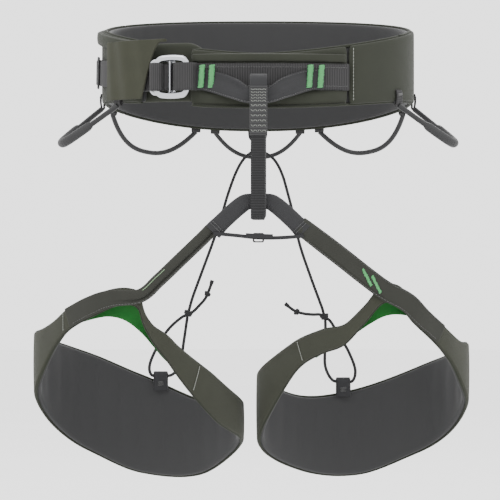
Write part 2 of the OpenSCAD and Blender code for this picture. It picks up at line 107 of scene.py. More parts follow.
def belt_top(angle):
    return FRONT_TOP + (BACK_TOP - FRONT_TOP) * back_share(angle) ** 0.64


def belt_bottom(angle):
    s = back_share(angle)
    return FRONT_BOTTOM + 44 * s - 56 * s * s


def webbing_mid(angle):
    return WEBBING_Z + 22 * max(back_share(angle) - 0.1, 0) ** 0.8


def belt_turn(angle, out, z):
    """Matrix of a small part on the belt's face: its -Y points outwards."""
    ahead = belt_point(angle + 1, out, z) - belt_point(angle - 1, out, z)
    turn = Matrix.Rotation(math.atan2(ahead.y, ahead.x), 4, "Z")
    return Matrix.Translation(belt_point(angle, out, z)) @ turn


# ---------------------------------------------------------------------------- smooth rows

def mix(a, b, s):
    return a + (b - a) * s


def smooth(s):
    s = min(max(s, 0), 1)
    return s * s * (3 - 2 * s)


def spline4(a, b, c, d, s):
    return 0.5 * (2 * b + (c - a) * s + (2 * a - 5 * b + 4 * c - d) * s * s
                  + (3 * b - a - 3 * c + d) * s * s * s)


class Route:
    """A smooth line through a few points, read by its share of the length, from 0 to 1."""

    STEPS = 24

    def __init__(self, points, closed=False):
        points = [Vector(p) for p in points]
        n = len(points)
        spans = n if closed else n - 1
        self.rows = []
        for i in range(spans):
            if closed:
                four = [points[(i + k) % n] for k in (-1, 0, 1, 2)]
            else:
                four = [points[min(max(i + k, 0), n - 1)] for k in (-1, 0, 1, 2)]
            self.rows += [spline4(*four, k / self.STEPS) for k in range(self.STEPS)]
        self.rows.append(points[0] if closed else points[-1])
        self.closed = closed
        self.marks = [0.0]
        for a, b in zip(self.rows, self.rows[1:]):
            self.marks.append(self.marks[-1] + (b - a).to_3d().length)
        self.length = self.marks[-1]

    def at(self, u):
        s = (u % 1 if self.closed and u != 1 else min(max(u, 0), 1)) * self.length
        low, high = 0, len(self.marks) - 1
        while high - low > 1:
            middle = (low + high) // 2
            if self.marks[middle] <= s:
                low = middle
            else:
                high = middle
        gap = self.marks[high] - self.marks[low]
        return mix(self.rows[low], self.rows[high], (s - self.marks[low]) / gap if gap else 0)

    def heading(self, u):
        if self.closed:
            ahead = self.at(u + 0.004) - self.at(u - 0.004)
        else:
            ahead = self.at(min(u + 0.004, 1)) - self.at(max(u - 0.004, 0))
        return ahead.to_3d().normalized()


# ---------------------------------------------------------------------------- mesh makers

def make_object(name, bm):
    mesh = bpy.data.meshes.new(name)
    bm.to_mesh(mesh)
    bm.free()
    piece = bpy.data.objects.new(name, mesh)
    bpy.context.collection.objects.link(piece)
    for face in mesh.polygons:
        face.use_smooth = True
    return piece


def grid(columns, rows, place, size, close_u=False, close_v=False):
    """A grid of quads bent into shape. place gives the point in millimetres for u and v from 0 to 1.
    size is the flat length and width in millimetres, which the UV map keeps in metres."""
    bm = bmesh.new()
    bmesh.ops.create_grid(bm, x_segments=columns, y_segments=rows, size=0.5)
    uv = bm.loops.layers.uv.new("UVMap")
    for face in bm.faces:
        for loop in face.loops:
            u, v = loop.vert.co.x + 0.5, loop.vert.co.y + 0.5
            loop[uv].uv = (u * size[0] * MM, v * size[1] * MM)
    for vert in bm.verts:
        u = min(max(vert.co.x + 0.5, 0), 1)
        v = min(max(vert.co.y + 0.5, 0), 1)
        vert.co = Vector(place(u, v)).to_3d() * MM
    if close_u or close_v:
        bmesh.ops.remove_doubles(bm, verts=bm.verts, dist=1e-6)
    if close_v and not close_u:
        open_edges = [edge for edge in bm.edges if edge.is_boundary]
        bmesh.ops.holes_fill(bm, edges=open_edges, sides=0)
    if close_u or close_v:
        bmesh.ops.recalc_face_normals(bm, faces=bm.faces)
    return bm


FLAT_SHARE = 0.44


def band_section(v, half_w, half_t, crown=0.0):
    """Round-edged flat section. v runs up the inner face, over the top, down the outer face and under.
    Gives the place across the band and the place through it."""
    if v < FLAT_SHARE:
        across, through = mix(-1, 1, v / FLAT_SHARE), -1
    elif v < 0.5:
        a = math.pi * (v - FLAT_SHARE) / (0.5 - FLAT_SHARE)
        return half_w - half_t + half_t * math.sin(a), -half_t * math.cos(a)
    elif v < 0.5 + FLAT_SHARE:
        across, through = mix(1, -1, (v - 0.5) / FLAT_SHARE), 1
    else:
        a = math.pi * (v - 0.5 - FLAT_SHARE) / (0.5 - FLAT_SHARE)
        return -(half_w - half_t + half_t * math.sin(a)), half_t * math.cos(a)
    return across * (half_w - half_t), through * (half_t + crown * (1 - across * across))


def strap(name, route, half_w, half_t, face=FRONT, columns=0, rows=24, crown=0.0, rib=None, lift=None):
    """A strap of webbing or fabric along a route. half_w and half_t may change along it; rib is the
    pitch and height of its cross ribs; lift moves a point out of its face."""
    wide = half_w if callable(half_w) else lambda u: half_w
    thick = half_t if callable(half_t) else lambda u: half_t
    columns = columns or max(int(route.length / 4), 8)
    if rib:
        columns = int(route.length / rib[0] * 4)

    def place(u, v):
        across, through = band_section(v, wide(u), thick(u), crown)
        t = route.heading(u)
        w = t.cross(face(u) if callable(face) else face).normalized()
        n = w.cross(t)
        if rib:
            swell = rib[1] * math.cos(2 * math.pi * u * route.length / rib[0])
            through += math.copysign(swell, through) * min(abs(through) / thick(u), 1)
        if lift:
            through += lift(u, across / wide(u), through)
        return route.at(u) + w * across + n * through

    girth = 4 * (wide(0.5) + thick(0.5))
    return make_object(name, grid(columns, rows, place, (route.length, girth), close_v=True))


def tube(name, route, radius, sides=10, columns=0):
    """A round cord along a route. radius may change along it."""
    size = radius if callable(radius) else lambda u: radius
    columns = columns or max(int(route.length / 2.5), 8)

    def place(u, v):
        t = route.heading(u)
        side = t.cross(Vector((0, 1, 0)) if abs(t.y) < 0.8 else Vector((1, 0, 0))).normalized()
        other = t.cross(side)
        a = 2 * math.pi * v
        r = size(u)
        return route.at(u) + (side * math.cos(a) + other * math.sin(a)) * r

    girth = 2 * math.pi * size(0.5)
    return make_object(name, grid(columns, sides, place, (route.length, girth), close_v=True))


def stitches(name, runs, radius=0.35, share=0.62):
    """Rows of thread. Each run is a list of (start, end) pairs in millimetres, one pair per stitch."""
    bm = bmesh.new()
    for start, end in runs:
        a, b = Vector(start), Vector(end)
        along = b - a
        middle = (a + b) / 2
        turn = along.to_track_quat("Z", "Y").to_matrix().to_4x4()
        size = Matrix.Diagonal((radius, radius, along.length * share / 2 + radius, 1))
        bmesh.ops.create_uvsphere(bm, u_segments=6, v_segments=5, radius=MM,
                                  matrix=Matrix.Translation(middle * MM) @ turn @ size)
    return make_object(name, bm)


def stitch_run(points):
    """Neighbouring points of a row as stitches, end to end."""
    return list(zip(points, points[1:]))


def subdivide(piece):
    modifier = piece.modifiers.new("round", "SUBSURF")
    modifier.levels = 1
    modifier.render_levels = 1
    return piece


def dress(piece, body, material, stands_for=()):
    """Gives a finished piece its body and its material, and hides the CAD nodes it stands for.
    A piece that bends across a joint gets an empty body here."""
    piece.data.materials.append(material)
    if body:
        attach(piece, body)
    if stands_for:
        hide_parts(*stands_for)
    return piece


def puff(piece, pressure, most, sewn):
    """Blows a closed pad up a little as cloth, so that its faces crown between the sewn points.
    No point moves more than most, in millimetres."""
    group = piece.vertex_groups.new(name="sewn")
    group.add(sewn, 1.0, "REPLACE")
    modifier = piece.modifiers.new("cloth", "CLOTH")
    settings = modifier.settings
    settings.quality = 4
    settings.mass = 0.2
    settings.tension_stiffness = 12
    settings.compression_stiffness = 12
    settings.bending_stiffness = 1.5
    settings.use_pressure = True
    settings.uniform_pressure_force = pressure
    settings.vertex_group_mass = group.name
    settings.effector_weights.gravity = 0
    modifier.collision_settings.use_collision = False
    modifier.point_cache.frame_end = 20
    for number in range(1, 21):
        bpy.context.scene.frame_set(number)
    blown = piece.evaluated_get(bpy.context.evaluated_depsgraph_get()).to_mesh()
    places = [vert.co.copy() for vert in blown.vertices]
    piece.modifiers.remove(modifier)
    for vert, place in zip(piece.data.vertices, places):
        move = place - vert.co
        if move.length > most * MM:
            move *= most * MM / move.length
        vert.co += move
    piece.vertex_groups.remove(group)
    bpy.context.scene.frame_set(1)
    return piece


# ------------------------------------------------------------------------------ materials

class Value:
    """A number that varies over a surface. Python's operators on it add the Math nodes."""

    def __init__(self, finish, socket):
        self.finish = finish
        self.socket = socket

    def math(self, operation, *others):
        node = self.finish.tree.nodes.new("ShaderNodeMath")
        node.operation = operation
        for slot, item in zip(node.inputs, (self, *others)):
            self.finish.feed(slot, item)
        return Value(self.finish, node.outputs[0])

    def __add__(self, other):
        return self.math("ADD", other)

    def __sub__(self, other):
        return self.math("SUBTRACT", other)

    def __rsub__(self, other):
        return (self * -1) + other

    def __mul__(self, other):
        return self.math("MULTIPLY", other)

    __radd__ = __add__
    __rmul__ = __mul__

    def sine(self):
        return self.math("SINE")


class Finish:
    """One material with a Principled shader."""

    def __init__(self, name):
        self.material = bpy.data.materials.new(name)
        self.material.use_nodes = True
        self.tree = self.material.node_tree
        self.shader = self.tree.nodes["Principled BSDF"]

    def feed(self, slot, item):
        if isinstance(item, Value):
            self.tree.links.new(item.socket, slot)
        elif isinstance(item, bpy.types.NodeSocket):
            self.tree.links.new(item, slot)
        else:
            slot.default_value = item

    def node(self, kind, settings=None, inputs=None, output=0):
        node = self.tree.nodes.new(kind)
        for name, setting in (settings or {}).items():
            setattr(node, name, setting)
        for name, item in (inputs or {}).items():
            self.feed(node.inputs[name], item)
        return node.outputs[output]

    def axes(self, socket):
        parts = self.tree.nodes.new("ShaderNodeSeparateXYZ")
        self.tree.links.new(socket, parts.inputs[0])
        return [Value(self, out) for out in parts.outputs]

    def uv(self):
        u, v, _ = self.axes(self.node("ShaderNodeTexCoord", output="UV"))
        return u, v

    def places(self):
        return self.node("ShaderNodeTexCoord", output="Object")

    def noise(self, scale, detail=3.0, roughness=0.55):
        return Value(self, self.node("ShaderNodeTexNoise", inputs={
            "Vector": self.places(), "Scale": scale, "Detail": detail, "Roughness": roughness}))

    def blend(self, amount, dark, light):
        return self.node("ShaderNodeMix", {"data_type": "RGBA"}, {
            "Factor": amount, 6: (*dark, 1), 7: (*light, 1)}, output=2)

    def set(self, **values):
        for name, item in values.items():
            self.feed(self.shader.inputs[name.replace("_", " ").title().replace("Ior", "IOR")], item)

    def bump(self, height, strength, distance):
        self.feed(self.shader.inputs["Normal"], self.node("ShaderNodeBump", None, {
            "Strength": strength, "Distance": distance, "Height": height}, output="Normal"))


TURN = 2 * math.pi


def shade(colour, factor):
    return tuple(c * factor for c in colour)


def woven_fabric(name, colour, pitch=0.0007, sheen=0.06, rough=0.8, contrast=0.16, strength=0.5):
    """Plain woven cloth: threads over and under along the piece's own UV map."""
    f = Finish(name)
    u, v = f.uv()
    warp = (u * (TURN / pitch)).sine()
    weft = (v * (TURN / pitch)).sine()
    weave = warp * weft * 0.5 + 0.5
    wear = f.noise(55.0, 4.0)
    tone = weave * contrast + wear * (1 - contrast)
    f.set(base_color=f.blend(tone, shade(colour, 0.78), shade(colour, 1.22)),
          roughness=(wear * 0.14 + (rough - 0.07)))
    f.set(sheen_weight=sheen, sheen_roughness=0.45, specular_ior_level=0.14)
    f.bump(weave * 0.7 + f.noise(700.0, 2.0) * 0.5, strength, 0.00025)
    return f.material


def ribbed_webbing(name, colour, pitch, thread=0.0009, contrast=0.75, strength=0.6):
    """Webbing with cross ribs along u, split into warp threads across v."""
    f = Finish(name)
    u, v = f.uv()
    rib = (u * (TURN / pitch)).sine() * 0.5 + 0.5
    warp = (v * (TURN / thread)).sine() * 0.5 + 0.5
    wear = f.noise(90.0, 3.0)
    tone = rib * (contrast * 0.7) + warp * rib * (contrast * 0.3) + wear * (1 - contrast)
    f.set(base_color=f.blend(tone, shade(colour, 0.5), shade(colour, 1.5)), roughness=wear * 0.15 + 0.6)
    f.set(sheen_weight=0.05, sheen_roughness=0.4, specular_ior_level=0.16)
    f.bump(rib * 0.8 + warp * 0.4, strength, 0.0004)
    return f.material


def braided_cord(name, colour, pitch=0.0016, girth=0.0085, rough=0.7):
    """Braided sheath: two sets of strands that cross round the cord."""
    f = Finish(name)
    u, v = f.uv()
    right = ((u * (1 / pitch) + v * (4 / girth)) * TURN).sine()
    left = ((u * (1 / pitch) - v * (4 / girth)) * TURN).sine()
    strands = (right * left) * 0.5 + 0.5
    wear = f.noise(160.0, 2.0)
    f.set(base_color=f.blend(strands * 0.6 + wear * 0.4, shade(colour, 0.55), shade(colour, 1.6)),
          roughness=wear * 0.2 + (rough - 0.1))
    f.set(sheen_weight=0.04, specular_ior_level=0.16)
    f.bump(strands, 0.6, 0.0003)
    return f.material


def brushed_lining(name, colour):
    """Soft knitted lining with a short nap."""
    f = Finish(name)
    nap = f.noise(900.0, 3.0, 0.7)
    cloud = f.noise(9.0, 2.0)
    u, v = f.uv()
    knit = (u * (TURN / 0.0011)).sine() * (v * (TURN / 0.0008)).sine() * 0.5 + 0.5
    f.set(base_color=f.blend(cloud * 0.7 + nap * 0.2 + knit * 0.1, shade(colour, 0.88), shade(colour, 1.1)),
          roughness=nap * 0.12 + 0.62)
    f.set(sheen_weight=0.08, sheen_roughness=0.5, specular_ior_level=0.16)
    f.bump(nap * 0.5 + knit * 0.4, 0.25, 0.0002)
    return f.material


def thread(name, colour):
    """Twisted sewing thread with a slight shine."""
    f = Finish(name)
    twist = f.node("ShaderNodeTexWave", {"bands_direction": "DIAGONAL"}, {
        "Vector": f.places(), "Scale": 900.0, "Distortion": 1.5}, output="Fac")
    twist = Value(f, twist)
    f.set(base_color=f.blend(twist * 0.6 + f.noise(400.0) * 0.4, shade(colour, 0.7), shade(colour, 1.15)),
          roughness=twist * 0.1 + 0.45)
    f.set(sheen_weight=0.2, specular_ior_level=0.5)
    f.bump(twist, 0.3, 0.0002)
    return f.material


def forged_metal(name, colour):
    """Tumbled and polished alloy."""
    f = Finish(name)
    grain = f.noise(1400.0, 3.0, 0.7)
    cloud = f.noise(60.0, 4.0)
    f.set(base_color=f.blend(cloud * 0.6 + grain * 0.4, shade(colour, 0.82), shade(colour, 1.05)),
          roughness=cloud * 0.16 + grain * 0.08 + 0.2, metallic=1.0)
    f.bump(grain * 0.5 + cloud * 0.5, 0.12, 0.0002)
    return f.material


def moulded(name, colour, rough):
    """Moulded plastic or rubber with a fine grain and some scuffs."""
    f = Finish(name)
    grain = f.noise(1500.0, 2.0, 0.6)
    scuff = f.noise(70.0, 5.0, 0.65)
    f.set(base_color=f.blend(scuff * 0.8 + grain * 0.2, shade(colour, 0.8), shade(colour, 1.25)),
          roughness=scuff * 0.2 + (rough - 0.1))
    f.set(specular_ior_level=0.3)
    f.bump(grain, 0.25, 0.0002)
    return f.material


OLIVE = woven_fabric("olive_cloth", (0.0217, 0.0236, 0.0174))
KEEPER_CLOTH = woven_fabric("keeper_cloth", (0.0273, 0.0285, 0.0192))
LEG_OLIVE = woven_fabric("leg_cloth", (0.0254, 0.0267, 0.0192))
RISER_CLOTH = woven_fabric("riser_cloth", (0.0217, 0.0223, 0.0186), pitch=0.0008)
OLIVE_DARK = woven_fabric("olive_binding", (0.0161, 0.0180, 0.0124), pitch=0.0009)
LINING = brushed_lining("charcoal_lining", (0.0211, 0.0211, 0.0217))
SLEEVE = woven_fabric("grey_sleeve", (0.0205, 0.0205, 0.0217), pitch=0.0006, rough=0.66, strength=0.4)
WEBBING = ribbed_webbing("waist_webbing", (0.0267, 0.0260, 0.0267), 0.0023)
FINE_WEBBING = ribbed_webbing("fine_webbing", (0.0273, 0.0267, 0.0273), 0.0016)
LOOP_WEBBING = ribbed_webbing("loop_webbing", (0.0155, 0.0155, 0.0161), 0.0023)
LOOP_LIGHT = ribbed_webbing("loop_sewn_webbing", (0.0310, 0.0310, 0.0316), 0.0023)
SMOOTH_WEBBING = woven_fabric("smooth_webbing", (0.0155, 0.0155, 0.0167), pitch=0.0011, rough=0.6)
BLACK_CORD = braided_cord("elastic_cord", (0.0105, 0.0105, 0.0112))
GEAR_CORD = moulded("sheathed_cord", (0.0105, 0.0105, 0.0112), 0.45)
GRIP = moulded("moulded_grip", (0.0149, 0.0149, 0.0155), 0.55)
PLASTIC = moulded("black_plastic", (0.0068, 0.0068, 0.0068), 0.45)
GREEN_THREAD = thread("green_thread", (0.035, 0.27, 0.07))
PALE_THREAD = thread("pale_thread", (0.17, 0.18, 0.16))
LIME_THREAD = thread("lime_thread", (0.13, 0.22, 0.11))
GREY_THREAD = thread("grey_thread", (0.035, 0.035, 0.035))
DARK_THREAD = thread("dark_thread", (0.018, 0.018, 0.018))
GREEN_CLOTH = woven_fabric("green_cloth", (0.0068, 0.0806, 0.0112), pitch=0.0006, sheen=0.1, rough=0.7)
ALUMINIUM = forged_metal("forged_aluminium", (0.47, 0.48, 0.5))


# ----------------------------------------------------------------- camera, light and floor

def aim(thing, place, target):
    thing.location = place
    thing.rotation_euler = (Vector(target) - Vector(place)).to_track_quat("-Z", "Y").to_euler()


CAMERA_X = -0.0077
CAMERA_Z = -0.167
CAMERA_AWAY = 2.4
FLOOR_Z = -0.62


def add_camera():
    data = bpy.data.cameras.new("camera")
    data.lens = 180
    data.sensor_width = 36
    data.clip_end = 30
    camera = bpy.data.objects.new("camera", data)
    bpy.context.collection.objects.link(camera)
    aim(camera, (CAMERA_X, -CAMERA_AWAY, CAMERA_Z), (CAMERA_X, 0, CAMERA_Z))
    bpy.context.scene.camera = camera


def add_light(name, place, size, power):
    data = bpy.data.lights.new(name, "AREA")
    data.shape = "DISK"
    data.size = size
    data.energy = power
    light = bpy.data.objects.new(name, data)
    bpy.context.collection.objects.link(light)
    aim(light, place, (0, 0, -0.2))


def add_floor():
    bm = bmesh.new()
    bmesh.ops.create_circle(bm, cap_ends=True, segments=96, radius=9)
    bmesh.ops.translate(bm, verts=bm.verts, vec=(0, 0, FLOOR_Z))
    floor = make_object("floor", bm)
    finish = Finish("floor_paint")
    mottle = finish.noise(3.0)
    finish.set(base_color=finish.blend(mottle, (0.90, 0.90, 0.90), (0.94, 0.94, 0.94)),
               roughness=mottle * 0.1 + 0.8)
    floor.data.materials.append(finish.material)


def add_sky():
    """Even white light from all sides."""
    world = bpy.data.worlds.new("studio")
    world.use_nodes = True
    background = world.node_tree.nodes["Background"]
    background.inputs["Color"].default_value = (1, 1, 1, 1)
    background.inputs["Strength"].default_value = 2.4
    bpy.context.scene.world = world


add_camera()
add_light("key", (-1.6, -2.2, 2.2), 1.6, 45)
add_light("fill", (2.4, -1.6, 1.0), 2.0, 18)
add_light("rim", (0.6, 2.4, 2.0), 1.4, 24)
add_floor()
add_sky()


# ------------------------------------------------------------------------------- the cords

RIGHT, LEFT = -1, 1
SIDE_NAME = {RIGHT: "right", LEFT: "left"}
CORD_ROUTE = {
    RIGHT: [(-4, 102, -67.6), (-14, 102, -76), (-22, 102, -90), (-30, 100, -112), (-37, 97, -136),
            (-45, 94, -160), (-56, 89, -190), (-64, 84, -212), (-67, 82, -222)],
    LEFT: [(4, 102, -67.6), (16, 102, -76), (24, 102, -90), (30, 100, -110), (36, 97, -134),
           (42, 93, -162), (52, 88, -192), (60, 84, -214), (64, 82, -225)]}
KNOT = {RIGHT: Vector((-69, 80, -230)), LEFT: Vector((66, 80, -233))}
TAB = {RIGHT: Vector((-95.5, 60.6, -290)), LEFT: Vector((84, 61.2, -296))}
LOOP_ROUTE = {
    RIGHT: [(-70, 79, -235), (-73, 75, -256), (-77, 68, -280), (-85, 60.8, -290), (-95.5, 60.8, -290),
            (-104.5, 60.8, -290), (-106.5, 64, -280), (-99, 69, -262), (-88, 74, -245), (-75, 79, -233.5)],
    LEFT: [(67, 79, -238), (67, 75, -258), (66.5, 68, -281), (73.5, 61.3, -295), (84, 61.2, -296),
           (93, 61.5, -296), (96, 64, -285), (89.5, 69, -267), (80, 74, -251), (71.5, 79, -237)]}
TAIL_ROUTE = {
    RIGHT: [(-64, 80, -228), (-58, 80, -222), (-52, 80, -215), (-48, 80, -206), (-45, 80, -197)],
    LEFT: [(61.5, 80, -231), (54, 80, -231), (45, 80, -230), (36, 80, -227), (27, 80, -220)]}
STOP_SHARE = 0.66


def in_metres(route, steps=40):
    return [tuple(route.at(i / steps) * MM) for i in range(steps + 1)]


def knot_piece(name, centre, size, along, turns=2.5):
    """A cord wound on itself into a small lobed knot round the line it is tied in."""
    along = Vector(along).normalized()
    side = along.cross(Vector((0, 1, 0))).normalized()
    deep = along.cross(side)
    points = []
    winding = size * 0.62
    for i in range(49):
        a = TURN * turns * i / 48
        rise = mix(-0.75, 0.75, i / 48) * winding
        reach = winding * (1 + 0.18 * math.sin(a * 1.7))
        points.append(centre + along * rise + side * math.cos(a) * reach + deep * math.sin(a) * reach)
    route = Route(points)
    return tube(name, route, lambda u: CORD_R * min(1, 0.35 + 9 * min(u, 1 - u)), sides=10, columns=150)


def add_seat_cord(side):
    """Elastic from the hook to the slip knot, on through the leg loop's tab, and its free end."""
    name = SIDE_NAME[side]
    knot = KNOT[side]
    route = Route(CORD_ROUTE[side] + [knot])
    cord = tube(f"{name}_elastic_run", route, CORD_R, sides=12, columns=160)
    dress(cord, f"{name}_cord", BLACK_CORD, [f"{name}_seat_cord"])
    in_metres(route)
    loop_route = Route([knot + Vector((0, -0.5, -3))] + LOOP_ROUTE[side] + [knot + Vector((0, -0.5, -2))])
    loop = tube(f"{name}_elastic_loop", loop_route, CORD_R, sides=12, columns=200)
    dress(loop, f"{name}_leg", BLACK_CORD, [f"{name}_cord_loop"])
    tie = knot_piece(f"{name}_tied_knot", knot, 4.4, (CORD_ROUTE[side][-1][0] - knot.x, 0.2, 8), 3.2)
    dress(tie, f"{name}_leg", BLACK_CORD, [f"{name}_slip_knot"])
    tail_route = Route([knot] + TAIL_ROUTE[side])
    tail = tube(f"{name}_elastic_tail", tail_route,
                lambda u: CORD_R * (1 + 0.32 * smooth((u - 0.86) * 12)), sides=12, columns=70)
    dress(tail, f"{name}_leg", BLACK_CORD, [f"{name}_cord_tail"])
    stop = knot_piece(f"{name}_stopper_knot", tail_route.at(STOP_SHARE), 3.1,
                      tail_route.heading(STOP_SHARE), 2.4)
    dress(stop, f"{name}_leg", BLACK_CORD, [f"{name}_tail_knot"])
    in_metres(tail_route)


for side in (RIGHT, LEFT):
    add_seat_cord(side)


# --------------------------------------------------------------------------- the waist belt

def belt_heading(angle):
    return (belt_point(angle + 0.5, 8, 0) - belt_point(angle - 0.5, 8, 0)).normalized()


def outward(u_heading):
    return u_heading.cross(UP).normalized()


def belt_pad(name, start, end, inner, outer, low, high, shape=None, step=4.0, end_round=6.0):
    """A closed pad round the belt. shape moves a point out by the angle, the height share and
    the side, which is -1 on the inner face and 1 on the outer one."""
    length = abs(end - start) * 2.35
    height = high((start + end) / 2) - low((start + end) / 2)
    half_t = (outer - inner) / 2
    columns = max(int(length / step), 6)
    rows = 2 * max(int(height / step), 6) + 8
    rows += rows % 2

    def place(u, v):
        angle = mix(start, end, u)
        half_w = (high(angle) - low(angle)) / 2
        across, through = band_section(v, half_w, half_t)
        near = min(u, 1 - u) * length
        slim = 1 if near > end_round else math.sqrt(max(1 - (1 - near / end_round) ** 2, 0.02))
        out = (inner + outer) / 2 + through * slim
        if shape:
            face_side = math.copysign(1, through) if abs(through) > 0 else 1
            out += shape(angle, across / half_w, face_side) * slim
        return belt_point(angle, out, (high(angle) + low(angle)) / 2 + across)

    bm = grid(columns, rows, place, (length, 2 * height + 2 * half_t), close_v=True)
    return make_object(name, bm)


def sewn_edges(piece):
    """Points along a pad's two long edges, which the cloth pass leaves where they are."""
    uv = piece.data.uv_layers["UVMap"].data
    top = max(item.uv.y for item in uv)
    far = max(item.uv.x for item in uv)
    found = set()
    for loop in piece.data.loops:
        place = uv[loop.index].uv
        share = place.y / top
        edge = min(share % 0.5, 0.5 - share % 0.5) < 0.055 or abs(share % 0.5 - 0.47) < 0.03
        if edge or place.x < 0.004 or place.x > far - 0.004:
            found.add(loop.vertex_index)
    return sorted(found)


def sew_pad(pad, body, material, nodes, pressure, most):
    """Finishes a padded piece: the cloth pass, its material and the CAD nodes it stands for."""
    puff(pad, pressure, most, sewn_edges(pad))
    dress(pad, body, material, nodes)
    subdivide(pad)


def edge_piping(name, start, end, out, height, radius):
    """Corded binding along an edge of the belt."""
    route = belt_route(start, end, out, height)
    piece = tube(name, route, lambda u: radius * min(1, 0.3 + 60 * min(u, 1 - u)), sides=10,
                 columns=int(route.length / 3))
    return dress(piece, "waist", OLIVE_DARK)


def add_belt_body():
    """Lining and foam of the belt, with corded binding along both edges."""
    lining = belt_pad("belt_lining_pad", BELT_START, BELT_END, 0, 5.6, belt_bottom, belt_top)
    sew_pad(lining, "waist", LINING, ["belt_lining", "belt_foam", "belt_load_webbing"],
            pressure=3.0, most=1.4)
    edge_piping("belt_top_piping", BELT_START + 0.5, BELT_END - 0.5, 5.4,
                lambda t: belt_top(t) + 0.1, 1.5)
    edge_piping("belt_bottom_piping", BELT_START + 0.5, BELT_END - 0.5, 5.4,
                lambda t: belt_bottom(t) - 0.1, 1.5)


def front_relief(angle, height, side):
    """The webbing lies in a shallow channel, and a padded strip stands proud under it."""
    if side < 0:
        return 0
    under = smooth((-0.42 - height) / 0.14) * smooth((height + 1.02) / 0.16)
    return 2.9 * under * smooth((angle - BELT_START - 2) / 6) * smooth((SEAM_LEFT - 1 - angle) / 4)


def add_belt_cover():
    """The four cover panels round the outside of the belt."""
    panels = [("belt_front_cover", BELT_START, SEAM_LEFT - 0.2, front_relief),
              ("belt_left_panel", SEAM_LEFT + 0.2, 23.9, None),
              ("belt_back_cover", 24.1, 155.9, None),
              ("belt_right_panel", 156.1, BELT_END, None)]
    for name, start, end, shape in panels:
        pad = belt_pad(f"{name}_pad", start, end, 5.3, 9.5, lambda t: belt_bottom(t) - 0.6,
                       lambda t: belt_top(t) + 0.6, shape, step=3.6, end_round=3.0)
        sew_pad(pad, "waist", OLIVE, [name], pressure=3.0, most=1.6)


ROLL_LOW = 5.0
ROLL_HIGH = 15.2


def add_front_roll():
    """Padded roll along the top of the front."""
    def shape(angle, height, side):
        return 1.1 * (1 - height * height) * side

    pad = belt_pad("front_padded_roll", -111, -60.4, 8.6, 12.6, lambda t: ROLL_LOW, lambda t: ROLL_HIGH,
                   shape, step=2.6)
    sew_pad(pad, "waist", OLIVE, ["belt_edge_roll"], pressure=2.0, most=0.8)
    edge_piping("front_lower_piping", -111, -59.8, 11.0, lambda t: belt_bottom(t) - 0.1, 1.1)


def belt_route(start, end, out, height, steps=60):
    angles = [mix(start, end, i / steps) for i in range(steps + 1)]
    return Route([belt_point(t, out(t) if callable(out) else out, height(t)) for t in angles])


def belt_strap(name, start, end, out, height, half_w, half_t, **more):
    route = belt_route(start, end, out, height)
    return strap(name, route, half_w, half_t, face=lambda u: outward(route.heading(u)), **more)


def belt_stitches(name, start, end, out, height, pitch, material, radius):
    route = belt_route(start, end, out, height)
    count = int(route.length / pitch)
    points = [route.at(i / count) for i in range(count + 1)]
    return dress(stitches(name, stitch_run(points), radius), "waist", material)


def add_front_webbing():
    """Load webbing across the belt's front, with a stitch row near each edge."""
    band = belt_strap("front_webbing", -110, -59.6, 11.3, webbing_mid, WEBBING_W / 2, 1.15,
                      rib=(2.4, 0.22), rows=28)
    dress(band, "waist", WEBBING, ["belt_webbing"])
    for row, offset in (("upper", 8.6), ("lower", -8.6)):
        belt_stitches(f"webbing_{row}_stitches", -109, -60.5, 12.75, lambda t: webbing_mid(t) + offset,
                      2.4, GREY_THREAD, 0.3)


def add_seams():
    """Stitches down the seams between the covers: pale at the front, green at the back."""
    for name, angle, thread_finish in (("front_seam_stitches", SEAM_LEFT + 1.6, PALE_THREAD),
                                       ("left_seam_stitches", 26, LIME_THREAD),
                                       ("right_seam_stitches", 154, LIME_THREAD)):
        low, high = belt_bottom(angle) + 3, belt_top(angle) - 2
        count = int((high - low) / 3)
        points = [belt_point(angle, 10.7, mix(low, high, i / count)) for i in range(count + 1)]
        dress(stitches(name, stitch_run(points), 0.42), "waist", thread_finish)


add_belt_body()
add_belt_cover()
add_front_roll()
add_front_webbing()
add_seams()


# ------------------------------------------------------------- right end, keeper and tail

def add_tongue():
    """The pad behind the buckle, from under the belt's right end."""
    tongue = belt_pad("tongue_pad", 218, 253, -6.8, -0.9, lambda t: -30,
                      lambda t: 26 - 10 * max(t - 244, 0) ** 2 / 81, step=3, end_round=9)
    sew_pad(tongue, "waist", OLIVE, ["belt_tongue"], pressure=3.0, most=1.2)


def add_keeper():
    """The panel over the belt's right end that the tongue and the webbing run under."""
    def keeper_low(t):
        return -27 if t <= 228 else mix(-27, 25, smooth((t - 227.5) / 10) ** 0.7)

    def keeper_fold(angle, height, side):
        gather = 0.5 * math.sin((angle - 204) * 0.55 + height * 1.3) * smooth((angle - 204) / 6)
        return gather + 1.3 * smooth((angle - 232) / 6)

    keeper = belt_pad("keeper_band", 204, 240, 12.9, 14.7, keeper_low, lambda t: 28, keeper_fold,
                      step=1.6, end_round=1.5)
    dress(keeper, "waist", KEEPER_CLOTH, ["belt_keeper"])
    subdivide(keeper)


def add_upper_roll():
    """Padded roll along the top of the belt's right end."""
    upper = belt_pad("right_upper_roll", 166, 226.5, 9.4, 13.0, lambda t: belt_top(t) - 13.5,
                     lambda t: belt_top(t) + 1.0,
                     lambda angle, height, side: 1.2 * (1 - height * height) * side, step=3)
    sew_pad(upper, "waist", OLIVE, (), pressure=2.0, most=0.8)


def tail_flare(t):
    """The webbing's free end stands away from the belt towards its tip."""
    return 11.6 + 6 * (max(180 - t, 0) / 10) ** 2


